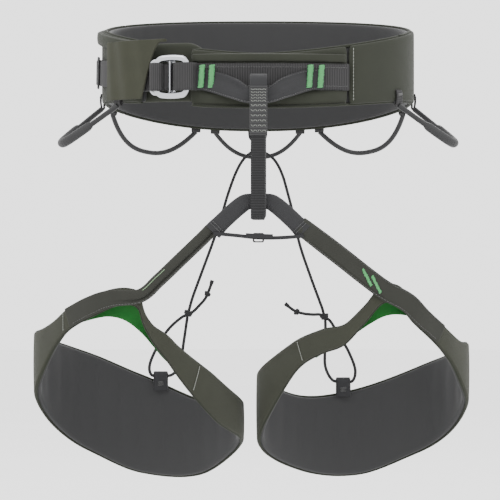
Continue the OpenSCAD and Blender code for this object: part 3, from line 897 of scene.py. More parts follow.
def add_webbing_tail():
    tail = belt_strap("tail_webbing", 170, 228, tail_flare, webbing_mid, WEBBING_W / 2, 1.05,
                      rib=(2.4, 0.18), rows=28)
    dress(tail, "waist", WEBBING, ["webbing_tail"])
    band = belt_strap("tail_elastic_band", 187.4, 191.6, 13.7, webbing_mid, WEBBING_W / 2 + 3, 0.7,
                      columns=12)
    dress(band, "waist", BLACK_CORD, ["tail_elastic"])


# ----------------------------------------------------------------------------- the buckle

BUCKLE_T = 242.6
BUCKLE = belt_turn(BUCKLE_T, SKIN_OUT + 4.5, -7.5)
SIDE_SHARE = 0.17


def box_line(u, half_w, half_h, corner, bow=0.0):
    """Line round a box with rounded corners, by shares: four sides and four corners."""
    part = (u * 4) % 4
    number = int(part) % 4
    s = part - int(part)
    side = SIDE_SHARE * 4
    legs = [(half_w, half_h - corner, 90), (-half_w + corner, half_h, 180),
            (-half_w, -half_h + corner, 270), (half_w - corner, -half_h, 360)]
    if s < side:
        s /= side
        if number % 2 == 0:
            x = legs[number][0]
            z = mix(-1, 1, s) * (half_h - corner) * (1 if number == 0 else -1)
        else:
            x = mix(1, -1, s) * (half_w - corner) * (1 if number == 1 else -1)
            z = legs[number][1]
    else:
        a = math.radians(number * 90 + 90 * (s - side) / (1 - side))
        x = (half_w - corner) * (1, -1, -1, 1)[number] + corner * math.cos(a)
        z = (half_h - corner) * (1, 1, -1, -1)[number] + corner * math.sin(a)
    return x, z + bow * (1 - (x / half_w) ** 2) * math.copysign(1, z)


def frame_ring(name, outer, inner, half_t, edge, place, bow=(0, 0)):
    """A flat ring between two rounded boxes, each given as half width, half height and corner."""
    def at(u, v):
        ox, oz = box_line(u, *outer, bow[0])
        ix, iz = box_line(u, *inner, bow[1])
        wide = math.hypot(ox - ix, oz - iz) / 2
        across, through = ring_section(v, wide, half_t, edge)
        s = 0.5 + across / (2 * wide)
        spot = Vector((mix(ix, ox, s), through, mix(iz, oz, s)))
        return place @ spot

    return make_object(name, grid(120, 24, at, (120, 16), close_u=True, close_v=True))


def ring_section(v, half_w, half_t, edge):
    """Flat section with bevelled corners: its place across and through."""
    corners = [(-1, -1), (1, -1), (1, 1), (-1, 1)]
    part = v * 4
    number = min(int(part), 3)
    s = part - number
    a, b = corners[number], corners[(number + 1) % 4]
    trim = (edge / half_w, edge / half_t)
    k = number % 2
    s = mix(-1 + trim[k], 1 - trim[k], s) if 0 <= s <= 1 else s
    x, y = (a[0] + b[0]) / 2, (a[1] + b[1]) / 2
    if k == 0:
        x += s * (b[0] - a[0]) / 2
    else:
        y += s * (b[1] - a[1]) / 2
    return x * half_w, y * half_t


def local_strap(name, points, half_w, half_t, matrix):
    """A piece of webbing that lies on the buckle: its width runs up the buckle."""
    route = Route([matrix @ Vector(p) for p in points])
    up = (matrix.to_3x3() @ UP).normalized()
    return strap(name, route, half_w, half_t, face=lambda u: route.heading(u).cross(up), rib=(2.0, 0.2))


def add_buckle_plates():
    """The front plate with its middle bar, and the smaller plate behind it."""
    front = frame_ring("buckle_front_plate", (17.5, 18.2, 8), (13.1, 13.2, 4), 1.7, 0.7, BUCKLE, (1.9, 1.6))
    dress(front, "buckle", ALUMINIUM, ["buckle_frame"])
    bevel_edges(front, 0.5)
    bar_route = Route([BUCKLE @ Vector((-1.5, 0, z)) for z in (-14.6, -8, 0, 8, 14.6)])
    bar = strap("buckle_middle_bar", bar_route, 1.6, 1.5, face=BUCKLE.to_3x3() @ FRONT, columns=30)
    dress(bar, "buckle", ALUMINIUM)
    rear_place = BUCKLE @ Matrix.Translation((-10, 4.2, 0))
    rear = frame_ring("buckle_rear_plate", (13, 16, 5), (9, 13.4, 3), 1.2, 0.5, rear_place, (1.0, 0.8))
    dress(rear, "waist", ALUMINIUM, ["buckle_rear_frame"])
    bevel_edges(rear, 0.4)


def add_buckle_webbing():
    """Webbing round the front plate's bars, and the band that holds the rear plate to the belt."""
    wrap = local_strap("buckle_left_wrap", [(-20.8, 2.6, 0), (-20.2, -1.4, 0), (-17.4, -3.5, 0),
                                            (-13.2, -3.5, 0), (-10.6, -1.8, 0), (-9.8, 2.4, 0)],
                       13.2, 0.9, BUCKLE)
    dress(wrap, "buckle", FINE_WEBBING, ["buckle_webbing"])
    dark = local_strap("buckle_inner_webbing", [(-9, 3.4, 0), (-4, 3.2, 0), (2, 3.0, 0), (8, 2.6, 0),
                                                (13.0, 2.4, 0)], 12.9, 0.7, BUCKLE)
    dress(dark, "buckle", FINE_WEBBING)
    near_belt = belt_point(-108.6, SKIN_OUT + 0.6, WEBBING_Z)
    there = BUCKLE.inverted() @ near_belt
    last_bend = Vector((20.6, -1.6, 0))
    right = local_strap("buckle_right_wrap", [(2.4, 1.4, 0), (3.6, -1.6, 0), (7, -3.1, 0), (12, -3.6, 0),
                                              (17.4, -3.6, 0), last_bend, mix(last_bend, there, 0.6),
                                              there], 13.0, 0.9, BUCKLE)
    dress(right, "", FINE_WEBBING)
    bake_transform(right)
    anchor = belt_strap("buckle_anchor_band", 226.2, 236.5, 8.6, lambda t: WEBBING_Z, WEBBING_W / 2, 1.1,
                        rib=(2.2, 0.2))
    dress(anchor, "waist", FINE_WEBBING, ["buckle_anchor_webbing"])


def bevel_edges(piece, width):
    modifier = piece.modifiers.new("edges", "BEVEL")
    modifier.width = width * MM
    modifier.segments = 3
    modifier.limit_method = "ANGLE"
    modifier.angle_limit = math.radians(40)
    return piece


# ------------------------------------------------------------- tie-in sleeve and belay loop

TIE_IN = Route([(-58, LOOP_Y + 23, -10), (-44, LOOP_Y + 20.6, -12), (-24, LOOP_Y + 9, -19),
                (-9, LOOP_Y, -26), (9, LOOP_Y, -26), (26, LOOP_Y + 9, -18), (46, LOOP_Y + 20.8, -11),
                (60, LOOP_Y + 23.2, -10)])
TIE_IN_HALF_W = Route([(v, 0, i * 60) for i, v in enumerate((9.5, 10, 10, 7.8, 7.8, 10, 10, 9.5))])
TIE_IN_HALF_T = Route([(v, 0, i * 60) for i, v in enumerate((1.1, 1.3, 3.0, 3.5, 3.5, 3.0, 1.3, 1.1))])


def hammock(u, across, through):
    """Folds that run along the sleeve and fan out from the belay loop, with rolled edges."""
    if through < 0:
        return 0
    middle = abs(u - 0.5) * 2
    fan = math.sin(across * 5.2 + 2.4 * (u - 0.5) + 0.8) * smooth(1.25 - middle) * smooth(middle * 3)
    roll = math.exp(-((across + 0.86) / 0.13) ** 2) * 0.7
    pucker = 0.35 * math.sin(across * 11 + 9 * u) * smooth(1 - abs(middle - 0.3) * 3)
    return 0.75 * fan + roll * smooth(1.1 - middle) + pucker


def add_tie_in():
    sleeve = strap("tie_in_sleeve_cover", TIE_IN, lambda u: TIE_IN_HALF_W.at(u).x,
                   lambda u: TIE_IN_HALF_T.at(u).x, columns=90, rows=56, lift=hammock)
    dress(sleeve, "waist", SLEEVE, ["tie_in_sleeve"])
    subdivide(sleeve)
    piping = []
    for edge in (-1, 1):
        points = []
        for i in range(49):
            u = mix(0.04, 0.96, i / 48)
            w = TIE_IN.heading(u).cross(FRONT).normalized()
            points.append(TIE_IN.at(u) + w * edge * (TIE_IN_HALF_W.at(u).x - 1.6)
                          + FRONT * (TIE_IN_HALF_T.at(u).x + 0.15))
        piping += stitch_run(points)
    dress(stitches("tie_in_edge_stitches", piping, 0.22), "waist", GREY_THREAD)


def loop_line(grow):
    """Side outline of the belay loop as a closed route; grow is the distance out of its hole."""
    top, bottom = LOOP_TOP - BELAY_T - LOOP_INNER_R, LOOP_BOTTOM + BELAY_T + LOOP_INNER_R
    r = LOOP_INNER_R + grow
    points = []
    for centre, first in ((top, 0), (bottom, 180)):
        for i in range(7):
            a = math.radians(first + 30 * i)
            points.append((0, LOOP_Y + r * math.cos(a), centre + r * math.sin(a)))
        side = -1 if centre == top else 1
        for s in (0.2, 0.4, 0.6, 0.8):
            z = mix(top, bottom, s) if centre == top else mix(bottom, top, s)
            points.append((0, LOOP_Y + side * r, z))
    return Route(points, closed=True)


def closed_strap(name, route, half_w, half_t, columns, lift, normal):
    """A strap sewn into a ring. normal gives the way its face points."""
    def place(u, v):
        across, through = band_section(v, half_w, half_t)
        t = route.heading(u)
        n = normal(u, t)
        w = n.cross(t)
        through += lift(u, across / half_w, through)
        return route.at(u) + w * across + n * through

    bm = grid(columns, 24, place, (route.length, 4 * half_w), close_u=True, close_v=True)
    return make_object(name, bm)


def add_belay_loop():
    """Ribbed webbing sewn into a ring, with its stitched overlap on the front."""
    line = loop_line(BELAY_T / 2)
    pitch = 2.75
    ribs = round(line.length / pitch)

    def ribbing(u, across, through):
        return math.copysign(0.27 * math.cos(TURN * ribs * u), through) * min(abs(through) / 2, 1)

    loop = closed_strap("belay_loop_webbing", line, 7.5, BELAY_T / 2, ribs * 4, lift=ribbing,
                        normal=lambda u, t: t.cross(ACROSS))
    dress(loop, "belay_loop", LOOP_WEBBING, ["belay_loop"])
    face_y = LOOP_Y - LOOP_INNER_R - BELAY_T - 0.9
    overlap = Route([(0, face_y + 0.9, -18.6), (0, face_y + 0.2, -21), (0, face_y, -26), (0, face_y, -42),
                     (0, face_y, -58), (0, face_y + 0.5, -63.2)])
    patch = strap("belay_loop_overlap", overlap, 8.1, 0.75, rib=(2.75, 0.28), rows=28)
    dress(patch, "belay_loop", LOOP_LIGHT, ["belay_stitching"])
    runs = []
    for row in range(5):
        z = -21.6 - row * 2.6
        runs += stitch_run([(x, face_y - 1.05, z + 0.5 * (-1) ** i) for i, x in enumerate(range(-7, 8, 2))])
    for row in range(6):
        z = -36 - row * 4.6
        runs += stitch_run([(x, face_y - 0.95, z + 0.9 * (-1) ** i) for i, x in enumerate(range(-7, 8, 2))])
    dress(stitches("belay_loop_stitches", runs, 0.3), "belay_loop", PALE_THREAD)
    cap = Route([(0, LOOP_Y + 1, -7.2), (0, LOOP_Y - 6, -8.0), (0, LOOP_Y - 11, -12.5),
                 (0, face_y + 1.0, -19.5)])
    fold = strap("belay_loop_fold", cap, 8.0, 0.7,
                 face=lambda u: cap.heading(u).cross(ACROSS) * -1, columns=24)
    dress(fold, "belay_loop", SLEEVE)


# ------------------------------------------------------------------------------- bar tacks

def tack_runs(matrix, width, height, count, slant, rng):
    """Close zigzag threads over an upright area; -Y is outwards."""
    runs = []
    for i in range(count):
        z = mix(-height / 2, height / 2, (i + 0.5) / count)
        lean = slant * z / height
        a = Vector((-width / 2 + lean + rng.uniform(-0.35, 0.35), rng.uniform(-0.12, 0.12), z - 0.35))
        b = Vector((width / 2 + lean + rng.uniform(-0.35, 0.35), rng.uniform(-0.12, 0.12), z + 0.35))
        runs.append((matrix @ a, matrix @ b))
    return runs


def add_waist_tacks():
    rng = random.Random(4)
    runs = []
    for angle in (-106.4, -103.1, -75.4, -71.6):
        place = belt_turn(angle, SKIN_OUT + 4.7, WEBBING_Z)
        runs += tack_runs(place, 5.2, 21, 22, 1.6, rng)
        runs += tack_runs(place @ Matrix.Translation((0, 0.5, 0)), 4.4, 20, 16, 1.4, rng)
    dress(stitches("waist_green_tacks", runs, 0.55, share=0.9), "waist", GREEN_THREAD,
          ["waist_bartacks"])


# ------------------------------------------------------------------------------- the gear loops

def anchor(angle, diameter):
    """Where a gear loop's end sits in its tab under the belt's edge."""
    return belt_point(angle, COVER_OUT + 0.9, belt_bottom(angle) - 2 - diameter / 2)


def mirrored(v, side):
    """The same point on the side's own half; 1 leaves it where it is."""
    return Vector((v[0] * side, v[1], v[2]))


class Bow:
    """A gear loop's line between its two anchors; drop is how far its middle hangs out."""

    def __init__(self, angles, diameter, drop, side):
        self.ends = [mirrored(anchor(t, diameter), side) for t in angles]
        self.drop = mirrored(drop, side)

    def route(self, start=0.0, end=1.0, steps=32):
        points = []
        for i in range(steps + 1):
            s = mix(start, end, i / steps)
            hang = self.drop * (1 - abs(2 * s - 1) ** 2.4)
            points.append(mix(self.ends[0], self.ends[1], s) + hang)
        return Route(points)


def round_ends(route, radius, end):
    """Radius along a route that closes to a dome over the last few millimetres."""
    def at(u):
        near = min(u, 1 - u) * route.length
        return radius * math.sqrt(max(1 - max(1 - near / end, 0) ** 2, 0.004))
    return at


GRIP_GROOVES = 26
GRIP_FROM, GRIP_TO = 0.122, 0.878


def add_front_gear(side):
    """Stiff gear loop: a moulded grip on a tape that shows at both ends."""
    name = f"front_{SIDE_NAME[side]}_gear"
    bow = Bow(FRONT_GEAR_ANGLES, 4, (44, -5, -34), side)
    grip_route = bow.route(GRIP_FROM, GRIP_TO, 40)
    full = round_ends(grip_route, 4.5, 7)

    def grip_radius(u):
        waisted = full(u) * (0.9 + 0.1 * math.sin(math.pi * u))
        groove = 0.18 * smooth(math.sin(TURN * GRIP_GROOVES * u) * 3 - 2)
        return waisted - groove

    grip = tube(f"{name}_moulded_grip", grip_route, grip_radius, sides=22, columns=220)
    dress(grip, name, GRIP, [f"{name}_grip"])
    for part, (start, end) in (("front", (0, 0.15)), ("back", (0.85, 1))):
        route = bow.route(start, end, 10)
        tape = tube(f"{name}_{part}_tape", route, 2.5, sides=14, columns=40)
        dress(tape, name, GEAR_CORD, [f"{name}_tape"] if part == "front" else ())


def add_thin_loop(name, node, body, angles, diameter, drop, side):
    route = Bow(angles, diameter, drop, side).route()
    loop = tube(name, route, diameter / 2 + 0.35, sides=14, columns=140)
    dress(loop, body, GEAR_CORD, [node])


# The line of a sewn tab, out of the belt and up from its lower edge.
TAB_FOLD = ((0.4, 10.5), (-0.6, 7), (-0.6, 2), (0.2, -2.6), (1.4, -4.4), (2.6, -2.6), (2.4, 0.5))
FRONT_GEAR_ANGLES = (-31, 3)
REAR_GEAR_ANGLES = (21, 69)
HAUL_ANGLES = (103.5, 76.5)


def add_gear_tabs():
    """Sewn tabs that hold the ends of the gear loops."""
    left = [*FRONT_GEAR_ANGLES, *REAR_GEAR_ANGLES]
    angles = left + [180 - t for t in left] + [*HAUL_ANGLES]
    for number, angle in enumerate(angles):
        low = belt_bottom(angle)
        place = belt_turn(angle, COVER_OUT + 1.2, 0)
        route = Route([place @ Vector((0, y, low + z)) for y, z in TAB_FOLD])
        side = place.to_3x3() @ ACROSS
        tab = strap(f"gear_tab_{number}", route, 4.6, 0.55,
                    face=lambda u, r=route, s=side: r.heading(u).cross(s).normalized(),
                    columns=40, rib=(1.6, 0.1))
        dress(tab, "waist", FINE_WEBBING, ["gear_loop_tabs"] if number == 0 else ())
    rng = random.Random(9)
    runs = []
    for angle in angles:
        place = belt_turn(angle, COVER_OUT + 2.5, belt_bottom(angle) + 6.5)
        runs += tack_runs(place, 7.4, 2.4, 4, 0, rng)
    dress(stitches("gear_tab_tacks", runs, 0.36, share=0.9), "waist", GREY_THREAD)


# --------------------------------------------------------------- hook under the belt's back

def add_seat_hook():
    """Webbing loop under the back of the belt, and the moulded hook that hangs from it."""
    top = belt_bottom(90) - SEAT_BAR.z + 3
    route = Route([SEAT_BAR + Vector(p) for p in
                   ((-8.2, 0, top), (-8.2, 0, 14), (-8.0, 0, 5), (-6.4, 0, 1), (-3, 0, 0),
                    (3, 0, 0), (6.4, 0, 1), (8.0, 0, 5), (8.2, 0, 14), (8.2, 0, top))])
    loop = tube("seat_anchor_cord", route, 1.5, sides=14, columns=120)
    dress(loop, "waist", SMOOTH_WEBBING, ["seat_anchor_loop"])

    def at(u, v):
        a = TURN * u
        across, through = band_section(v, 5.5, 1.05)
        r = 3.4 + through
        drop = max(-math.sin(a), 0) ** 6 * 0.5
        return SEAT_BAR + Vector((across, r * math.cos(a), (r + drop) * math.sin(a)))

    ring = make_object("seat_hook_ring", grid(40, 20, at, (22, 24), close_u=True, close_v=True))
    dress(ring, "seat_hook", PLASTIC, ["seat_hook"])
    plate_route = Route([SEAT_BAR + Vector((0, 0, z)) for z in (-3.2, -5, -7, -9.6)])
    plate = strap("seat_hook_plate", plate_route, 5.6, 1.5, columns=24)
    dress(plate, "seat_hook", PLASTIC)
    for side in (RIGHT, LEFT):
        eye = Vector(CORD_ROUTE[side][0]) + Vector((0, 0, 1.5))
        knot = knot_piece(f"{SIDE_NAME[side]}_hook_knot", eye, 2.8, (side * 0.3, 0.1, -1), 1.6)
        dress(knot, f"{SIDE_NAME[side]}_cord", BLACK_CORD)


add_tongue()
add_keeper()
add_upper_roll()
add_webbing_tail()
add_buckle_plates()
add_buckle_webbing()
add_tie_in()
add_belay_loop()
add_waist_tacks()
for side in (RIGHT, LEFT):
    add_front_gear(side)
    add_thin_loop(f"rear_{SIDE_NAME[side]}_gear_cord", f"rear_{SIDE_NAME[side]}_gear_loop",
                  f"rear_{SIDE_NAME[side]}_gear", REAR_GEAR_ANGLES, 4, (8, 10, -28), side)
add_thin_loop("haul_cord", "haul_loop", "haul", HAUL_ANGLES, 3.5, (0, 14, -24), 1)
add_gear_tabs()
add_seat_hook()


# ------------------------------------------------------------------------------ leg loops

# Inner face of each leg loop, from the foot of the riser round the outer side, the back and
# the inner side, measured from the lower tie-in point. The fourth number is the band's width.
LEG_ROUTE = {
    RIGHT: [(-112, 31, -88, 16), (-154, 44, -96, 21), (-188, 76, -121, 27), (-207, 116, -158, 66),
            (-176, 168, -190, 96), (-116, 188, -214, 98), (-58, 168, -226, 74), (-18, 118, -208, 40),
            (-46, 72, -180, 42), (-84, 42, -137, 26)],
    LEFT: [(116, 31, -83, 18), (148, 44, -101, 23), (180, 76, -134, 31), (194, 116, -166, 66),
           (166, 168, -196, 90), (100, 188, -222, 86), (44, 168, -222, 74), (3, 118, -194, 66),
           (38, 72, -143, 30), (78, 41, -119, 22)]}
RISER_ROUTE = {
    RIGHT: [(-42, 8.6, -25), (-50, 8.6, -33), (-70, 13, -52), (-90, 18, -71), (-108, 20.5, -86),
            (-118, 20.5, -93)],
    LEFT: [(42, 8.6, -25), (50, 8.6, -31), (75, 13, -50), (98, 18, -68), (116, 20.5, -81),
           (127, 20.5, -88)]}
LEG_LINING_OUT = 4.6
LEG_SHELL_OUT = 7.3
RING_STEPS = 10


def ring_at(side, k):
    points = LEG_ROUTE[side]
    i = math.floor(k)
    return spline4(*(Vector(points[(i + j) % RING_STEPS]) for j in (-1, 0, 1, 2)), k - i)


def leg_frame(side, k):
    """Middle point, outward direction and width of a leg loop's band, a share k of ten round it.
    The soft band sags a little at its front and where it crosses to the inner side."""
    here = ring_at(side, k)
    ahead = ring_at(side, k + 0.03) - ring_at(side, k - 0.03)
    out = Vector((ahead.y, -ahead.x, 0)).normalized() * side
    k = k % RING_STEPS
    middle = here.to_3d() + BRIDGE
    width = here.w - 3
    outer = smooth((k - 2.5) * 1.5) * smooth((5.0 - k) * 1.3)
    inner = smooth((k - 6) * 1.6) * smooth((8 - k) * 1.6)
    middle.x += side * 2.5 * inner
    if side == RIGHT:
        front = smooth((k - 1.5) * 2) * smooth((2.8 - k) * 2)
        sag = smooth((k - 9) * 2) * smooth((10 - k) * 2.6)
        middle += UP * (4.5 * outer - 2 * front - 5 * sag) + ACROSS * -5.5 * sag
        return middle, out, width - 2 * outer - 5 * sag
    front = smooth((k - 0.3) * 2) * smooth((2.9 - k) * 1.6)
    sag = smooth((k - 8.6) * 1.6) * smooth((10 - k) * 2.2)
    middle += UP * (2 * outer - 5 * front - 6 * sag)
    return middle, out, width - 6 * outer - 2 * sag


def leg_point(side, k, out, height):
    """height is -1 on the band's lower edge and 1 on its upper one."""
    middle, away, width = leg_frame(side, k)
    return middle + away * out + UP * (height * width / 2)


def leg_pad(name, side, inner, outer, grow=0.0, crown=0.0, columns=210, rows=52):
    half_t = (outer - inner) / 2

    def place(u, v):
        middle, away, width = leg_frame(side, u * RING_STEPS)
        half_w = width / 2 + grow
        across, through = band_section(v, half_w, half_t, crown if v > 0.5 else 0)
        return middle + away * ((inner + outer) / 2 + through) + UP * across

    bm = grid(columns, rows, place, (660, 150), close_u=True, close_v=True)
    return make_object(name, bm)


def closed_tube(name, route, radius, columns, sides=8):
    def place(u, v):
        t = route.heading(u)
        side = t.cross(UP).normalized()
        other = t.cross(side)
        a = TURN * v
        return route.at(u) + (side * math.cos(a) + other * math.sin(a)) * radius

    bm = grid(columns, sides, place, (route.length, TURN * radius), close_u=True, close_v=True)
    return make_object(name, bm)


def add_leg_band(side):
    """One leg loop: its lining with the foam, its cover and the binding along both edges."""
    name = SIDE_NAME[side]
    body = f"{name}_leg"
    lining = leg_pad(f"{name}_leg_lining_pad", side, 0, LEG_LINING_OUT)
    sew_pad(lining, body, LINING, [f"{name}_leg_lining", f"{name}_leg_foam"],
            pressure=3.0, most=1.2)
    shell = leg_pad(f"{name}_leg_shell_pad", side, LEG_LINING_OUT - 0.4, LEG_SHELL_OUT - 0.4, 0.5, 0.5)
    sew_pad(shell, body, LEG_OLIVE, [f"{name}_leg_shell"],
            pressure=3.0, most=1.4)
    for edge, height in (("upper", 1), ("lower", -1)):
        points = [leg_point(side, k / 8, LEG_LINING_OUT - 0.2, height) + UP * height * 0.2
                  for k in range(8 * RING_STEPS)]
        piping = closed_tube(f"{name}_leg_{edge}_piping", Route(points, closed=True), 1.25, 260)
        dress(piping, body, OLIVE_DARK)


def leg_stitches(name, side, rows, material, radius=0.4, pitch=2.6):
    """Stitch rows across the band; each row is its place at the lower and at the upper edge."""
    runs = []
    for low, high in rows:
        _, _, width = leg_frame(side, (low + high) / 2)
        count = max(int(width / pitch), 4)
        points = []
        for i in range(count + 1):
            s = i / count
            points.append(leg_point(side, mix(low, high, s), LEG_SHELL_OUT + 0.55, mix(-0.86, 0.86, s)))
        runs += stitch_run(points)
    dress(stitches(name, runs, radius), f"{SIDE_NAME[side]}_leg", material)


def add_leg_seams():
    leg_stitches("right_leg_seam_stitches", RIGHT, [(1.62, 1.62), (8.5, 8.36)], PALE_THREAD)
    leg_stitches("left_leg_seam_stitches", LEFT, [(8.22, 8.1)], PALE_THREAD)
    for side in (RIGHT, LEFT):
        seam = [(k, k) for k in (3.4, 6.4)]
        leg_stitches(f"{SIDE_NAME[side]}_leg_side_stitches", side, seam, GREY_THREAD, 0.3)


# The green web's lower edge and its upper one, which hides behind the band.
GUSSET_EDGE = {
    RIGHT: [((-173, 59.5, -113), (-170, 58, -104)), ((-150, 45, -106.5), (-150, 45, -94)),
            ((-136, 39, -105), (-134, 39, -90)), ((-122, 35, -109), (-117, 35, -92)),
            ((-108, 36, -120), (-106, 36, -106)), ((-97, 41, -133), (-94, 41, -125)),
            ((-86, 46.5, -146), (-82, 47, -140)), ((-73, 52.5, -156), (-69, 54, -152))],
    LEFT: [((160, 54, -119), (160, 54, -108)), ((146, 44, -107), (146, 44, -98)),
           ((132, 37, -103), (131, 37, -92)), ((118, 34, -104), (114, 34, -90)),
           ((104, 35, -111), (99, 35, -100)), ((88, 40, -122), (84, 40, -112)),
           ((72, 46, -132), (70, 46, -122)), ((54, 59, -144), (54, 59, -134))]}


def add_gusset(side):
    """Green web that fills the corner between the riser's foot and the leg loop."""
    name = SIDE_NAME[side]
    lower = Route([Vector(a) + BRIDGE for a, b in GUSSET_EDGE[side]])
    upper = Route([Vector(b) + BRIDGE for a, b in GUSSET_EDGE[side]])

    def place(u, v):
        across, through = band_section(v, 1, 0.06)
        low, high = lower.at(u), upper.at(u)
        out = lower.heading(u).cross(high - low).normalized()
        hollow = 1.6 * math.sin(math.pi * u) * (1 - across * across)
        return mix(low, high, (across + 1) / 2) - out * (through * 10 + hollow * side * -1)

    web = make_object(f"{name}_green_web", grid(90, 28, place, (lower.length, 30), close_v=True))
    dress(web, f"{name}_leg", GREEN_CLOTH, [f"{name}_gusset"])


# ------------------------------------------------------------------------ risers and tacks

def riser_route(side):
    points = [Vector(p) + BRIDGE + Vector((side * 0.8, 0, 0.8)) for p in RISER_ROUTE[side][:-1]]
    points[0].y -= 4
    points[1].y -= 1.8
    points.insert(0, BRIDGE + Vector((side * 37, 3.5, -20.2)))
    for k in (0.55, 1.0, 1.5):
        middle, away, _ = leg_frame(side, k)
        points.append(middle + away * (LEG_SHELL_OUT + 0.9))
    return Route(points)


def bend_at_joint(piece, route):
    """Bakes a riser's placement into its mesh; the points near its top are computed but not used."""
    tuple(route.at(0.0) * MM)
    tuple(route.at(0.15) * MM)
    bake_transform(piece)


def add_riser(side):
    """The sleeve of webbing from the lower tie-in sleeve down over the leg loop's band."""
    name = SIDE_NAME[side]
    route = riser_route(side)
    start = 9.2 if side == LEFT else 6.8
    end_w = 9.5
    end_out = leg_frame(side, 1.4)[1]

    def wide(u):
        return mix(start, end_w, smooth((u - 0.5) / 0.4))

    def thick(u):
        if side == RIGHT:
            return mix(2.6, 0.8, smooth((u - 0.5) / 0.4))
        return mix(4.3, 1.3, smooth(u / 0.2)) - 0.5 * smooth((u - 0.5) / 0.4)

    def face(u):
        return mix(FRONT, end_out, smooth((u - 0.6) / 0.35)).normalized()

    def fold(u, across, through):
        if through < 0:
            return 0
        slope = smooth((0.75 - u) * 4)
        if side == RIGHT:
            groove = math.exp(-((across + 0.42) / 0.14) ** 2) * 2.3
            swell = 0.5 * math.sin(across * 4 + 1)
            return (swell - groove) * slope
        groove = math.exp(-((across - 0.72) / 0.08) ** 2) * 0.9
        return (0.3 * math.sin(across * 3 + u * 14) - groove) * slope

    riser = strap(f"{name}_riser_sleeve", route, wide, thick, face=face, columns=110, rows=56, lift=fold)
    dress(riser, "", RISER_CLOTH, [f"{name}_riser"])
    subdivide(riser)
    bend_at_joint(riser, route)
    runs = []
    for edge in ((-0.84, 0.84) if side == LEFT else (-0.78,)):
        points = []
        for i in range(56):
            u = mix(0.08, 0.97, i / 55)
            t = route.heading(u)
            w = t.cross(face(u)).normalized()
            points.append(route.at(u) + w * edge * wide(u) + w.cross(t) * (thick(u) + 0.25))
        runs += stitch_run(points)
    edges = stitches(f"{name}_riser_edge_stitches", runs, 0.24)
    dress(edges, "", GREY_THREAD)
    bend_at_joint(edges, route)


def add_left_tacks():
    """Two slanted green tacks where the left riser meets its leg loop."""
    rng = random.Random(11)
    runs = []
    for x, z in ((99.6, -68.0), (108.2, -74.6)):
        place = (Matrix.Translation(BRIDGE + Vector((x, 16.4 + (x - 100) * 0.1, z)))
                 @ Matrix.Rotation(math.radians(-27), 4, "Y"))
        runs += tack_runs(place, 2.2, 17.5, 24, 0, rng)
    tacks = stitches("left_riser_green_tacks", runs, 0.5, share=0.9)
    dress(tacks, "left_leg", GREEN_THREAD, ["left_leg_bartacks"])


def add_right_tacks():
    """A single green row along the right riser's edge."""
    route = riser_route(RIGHT)
    points = []
    for i in range(14):
        u = mix(0.36, 0.52, i / 13)
        w = route.heading(u).cross(FRONT).normalized()
        points.append(route.at(u) + w * 3.6 + FRONT * 2.9)
    line = stitches("right_riser_green_tacks", stitch_run(points), 0.42, share=0.9)
    dress(line, "right_leg", LIME_THREAD, ["right_leg_bartacks"])


# ------------------------------------------------------------- lower tie-in sleeve and strap

BRIDGE_LINE = Route([BRIDGE + Vector(p) for p in
                     ((-42, 3.5, -26.5), (-31, 2.5, -15.4), (-17, 1, -3), (-8.5, 0, 1.2), (8.5, 0, 1.2),
                      (17, 1, -3), (31, 2.5, -15.4), (42, 3.5, -26.5))])


def add_bridge():
    """Padded sleeve that the belay loop hangs on, over the load webbing between the risers."""
    def wide(u):
        return 8.8 + 0.4 * smooth((abs(u - 0.5) - 0.38) * 12) - 1.3 * math.exp(-((u - 0.5) / 0.1) ** 2)

    def thick(u):
        return 3.9 - 0.8 * smooth((abs(u - 0.5) - 0.36) * 8)

    def pucker(u, across, through):
        near = math.exp(-((abs(u - 0.5) - 0.13) / 0.1) ** 2)
        lower = smooth((across + 0.1) * 1.4)
        wave = math.sin(u * 120) * 0.45 * near * lower
        ring = -0.5 * math.exp(-((abs(u - 0.5) - 0.40) / 0.012) ** 2)
        return math.copysign(wave + ring, through) * min(abs(through) / 2, 1)

    sleeve = strap("bridge_sleeve_cover", BRIDGE_LINE, wide, thick, columns=150, rows=44, crown=0.4,
                   lift=pucker)
    dress(sleeve, "leg_bridge", SLEEVE, ["bridge_sleeve", "bridge_core"])
    subdivide(sleeve)
    runs = []
    for side in (-1, 1):
        for edge in (0.045, 0.07):
            u = 0.5 + side * (0.5 - edge)
            w = BRIDGE_LINE.heading(u).cross(FRONT).normalized()
            middle = BRIDGE_LINE.at(u) + FRONT * (thick(u) + 0.55)
            runs += stitch_run([middle + w * (j - 3.5) * 1.9 for j in range(8)])
    dress(stitches("bridge_end_stitches", runs, 0.32), "leg_bridge", GREY_THREAD)


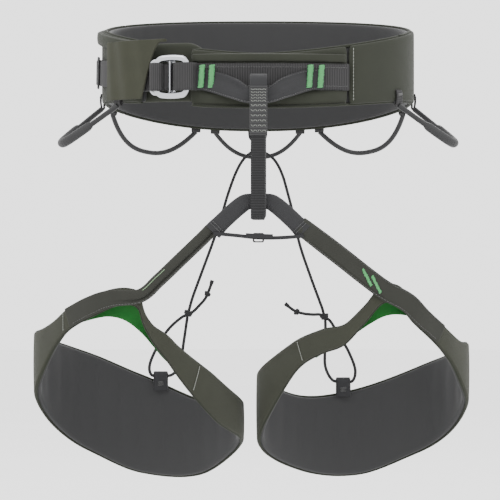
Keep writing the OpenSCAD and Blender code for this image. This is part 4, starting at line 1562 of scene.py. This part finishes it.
def add_cross_strap():
    """Adjusting strap between the two riser heads, doubled in its middle."""
    lift = Vector((0, 0, 1.2))
    points = [BRIDGE + lift + Vector(p) for p in
              ((-41, 0, -29), (-20, -1.4, -31), (0, -2, -33), (20, -1.6, -33), (41, 0, -31.5))]
    line = Route(points)
    band = strap("cross_strap_webbing", line, 2.5, 0.8, rib=(2.0, 0.16), rows=16)
    dress(band, "leg_bridge", SMOOTH_WEBBING, ["cross_strap"])
    doubled = Route([line.at(0.36) + Vector((0, -1.6, 1.0)), line.at(0.5) + Vector((0, -2.0, 1.4)),
                     line.at(0.66) + Vector((0, -1.9, 1.2))])
    flap = strap("cross_strap_free_end", doubled, 2.9, 0.7, rib=(1.8, 0.16), rows=16)
    dress(flap, "leg_bridge", SMOOTH_WEBBING)
    place = Matrix.Translation(line.at(0.5))
    slider = frame_ring("cross_strap_buckle", (5.2, 4.4, 1.6), (3.6, 3.1, 0.8), 2.2, 0.5, place)
    dress(slider, "leg_bridge", PLASTIC, ["cross_strap_slider"])
    bevel_edges(slider, 0.3)


def add_cord_tab(side):
    """Folded webbing tab on the leg loop that the elastic runs through."""
    name = SIDE_NAME[side]
    centre = TAB[side]
    points = [(0, -3.2, -15), (0, -3.4, -8), (0, -3.3, -2), (0, -1.8, 2.2), (0, 0.6, 3.1), (0, 2.7, 1.2),
              (0, 2.6, -1.6), (0, 0.4, -3.1), (0, -1.4, -5), (0, -1.5, -13)]
    route = Route([centre + Vector(p) for p in points])
    tab = strap(f"{name}_tab_webbing", route, lambda u: 7.4 - 1.12 * math.sin(math.pi * min(u * 1.7, 1)),
                0.55, face=lambda u: route.heading(u).cross(ACROSS).normalized() * -1,
                columns=60, rib=(1.8, 0.12))
    dress(tab, f"{name}_leg", SMOOTH_WEBBING, [f"{name}_cord_tab"])
    rng = random.Random(21)
    runs = tack_runs(Matrix.Translation(centre + Vector((0, -4.3, -8))), 9, 4.5, 6, 0, rng)
    dress(stitches(f"{name}_tab_tacks", runs, 0.36), f"{name}_leg", DARK_THREAD)


for side in (RIGHT, LEFT):
    add_leg_band(side)
    add_gusset(side)
    add_riser(side)
    add_cord_tab(side)
add_leg_seams()
add_left_tacks()
add_right_tacks()
add_bridge()
add_cross_strap()
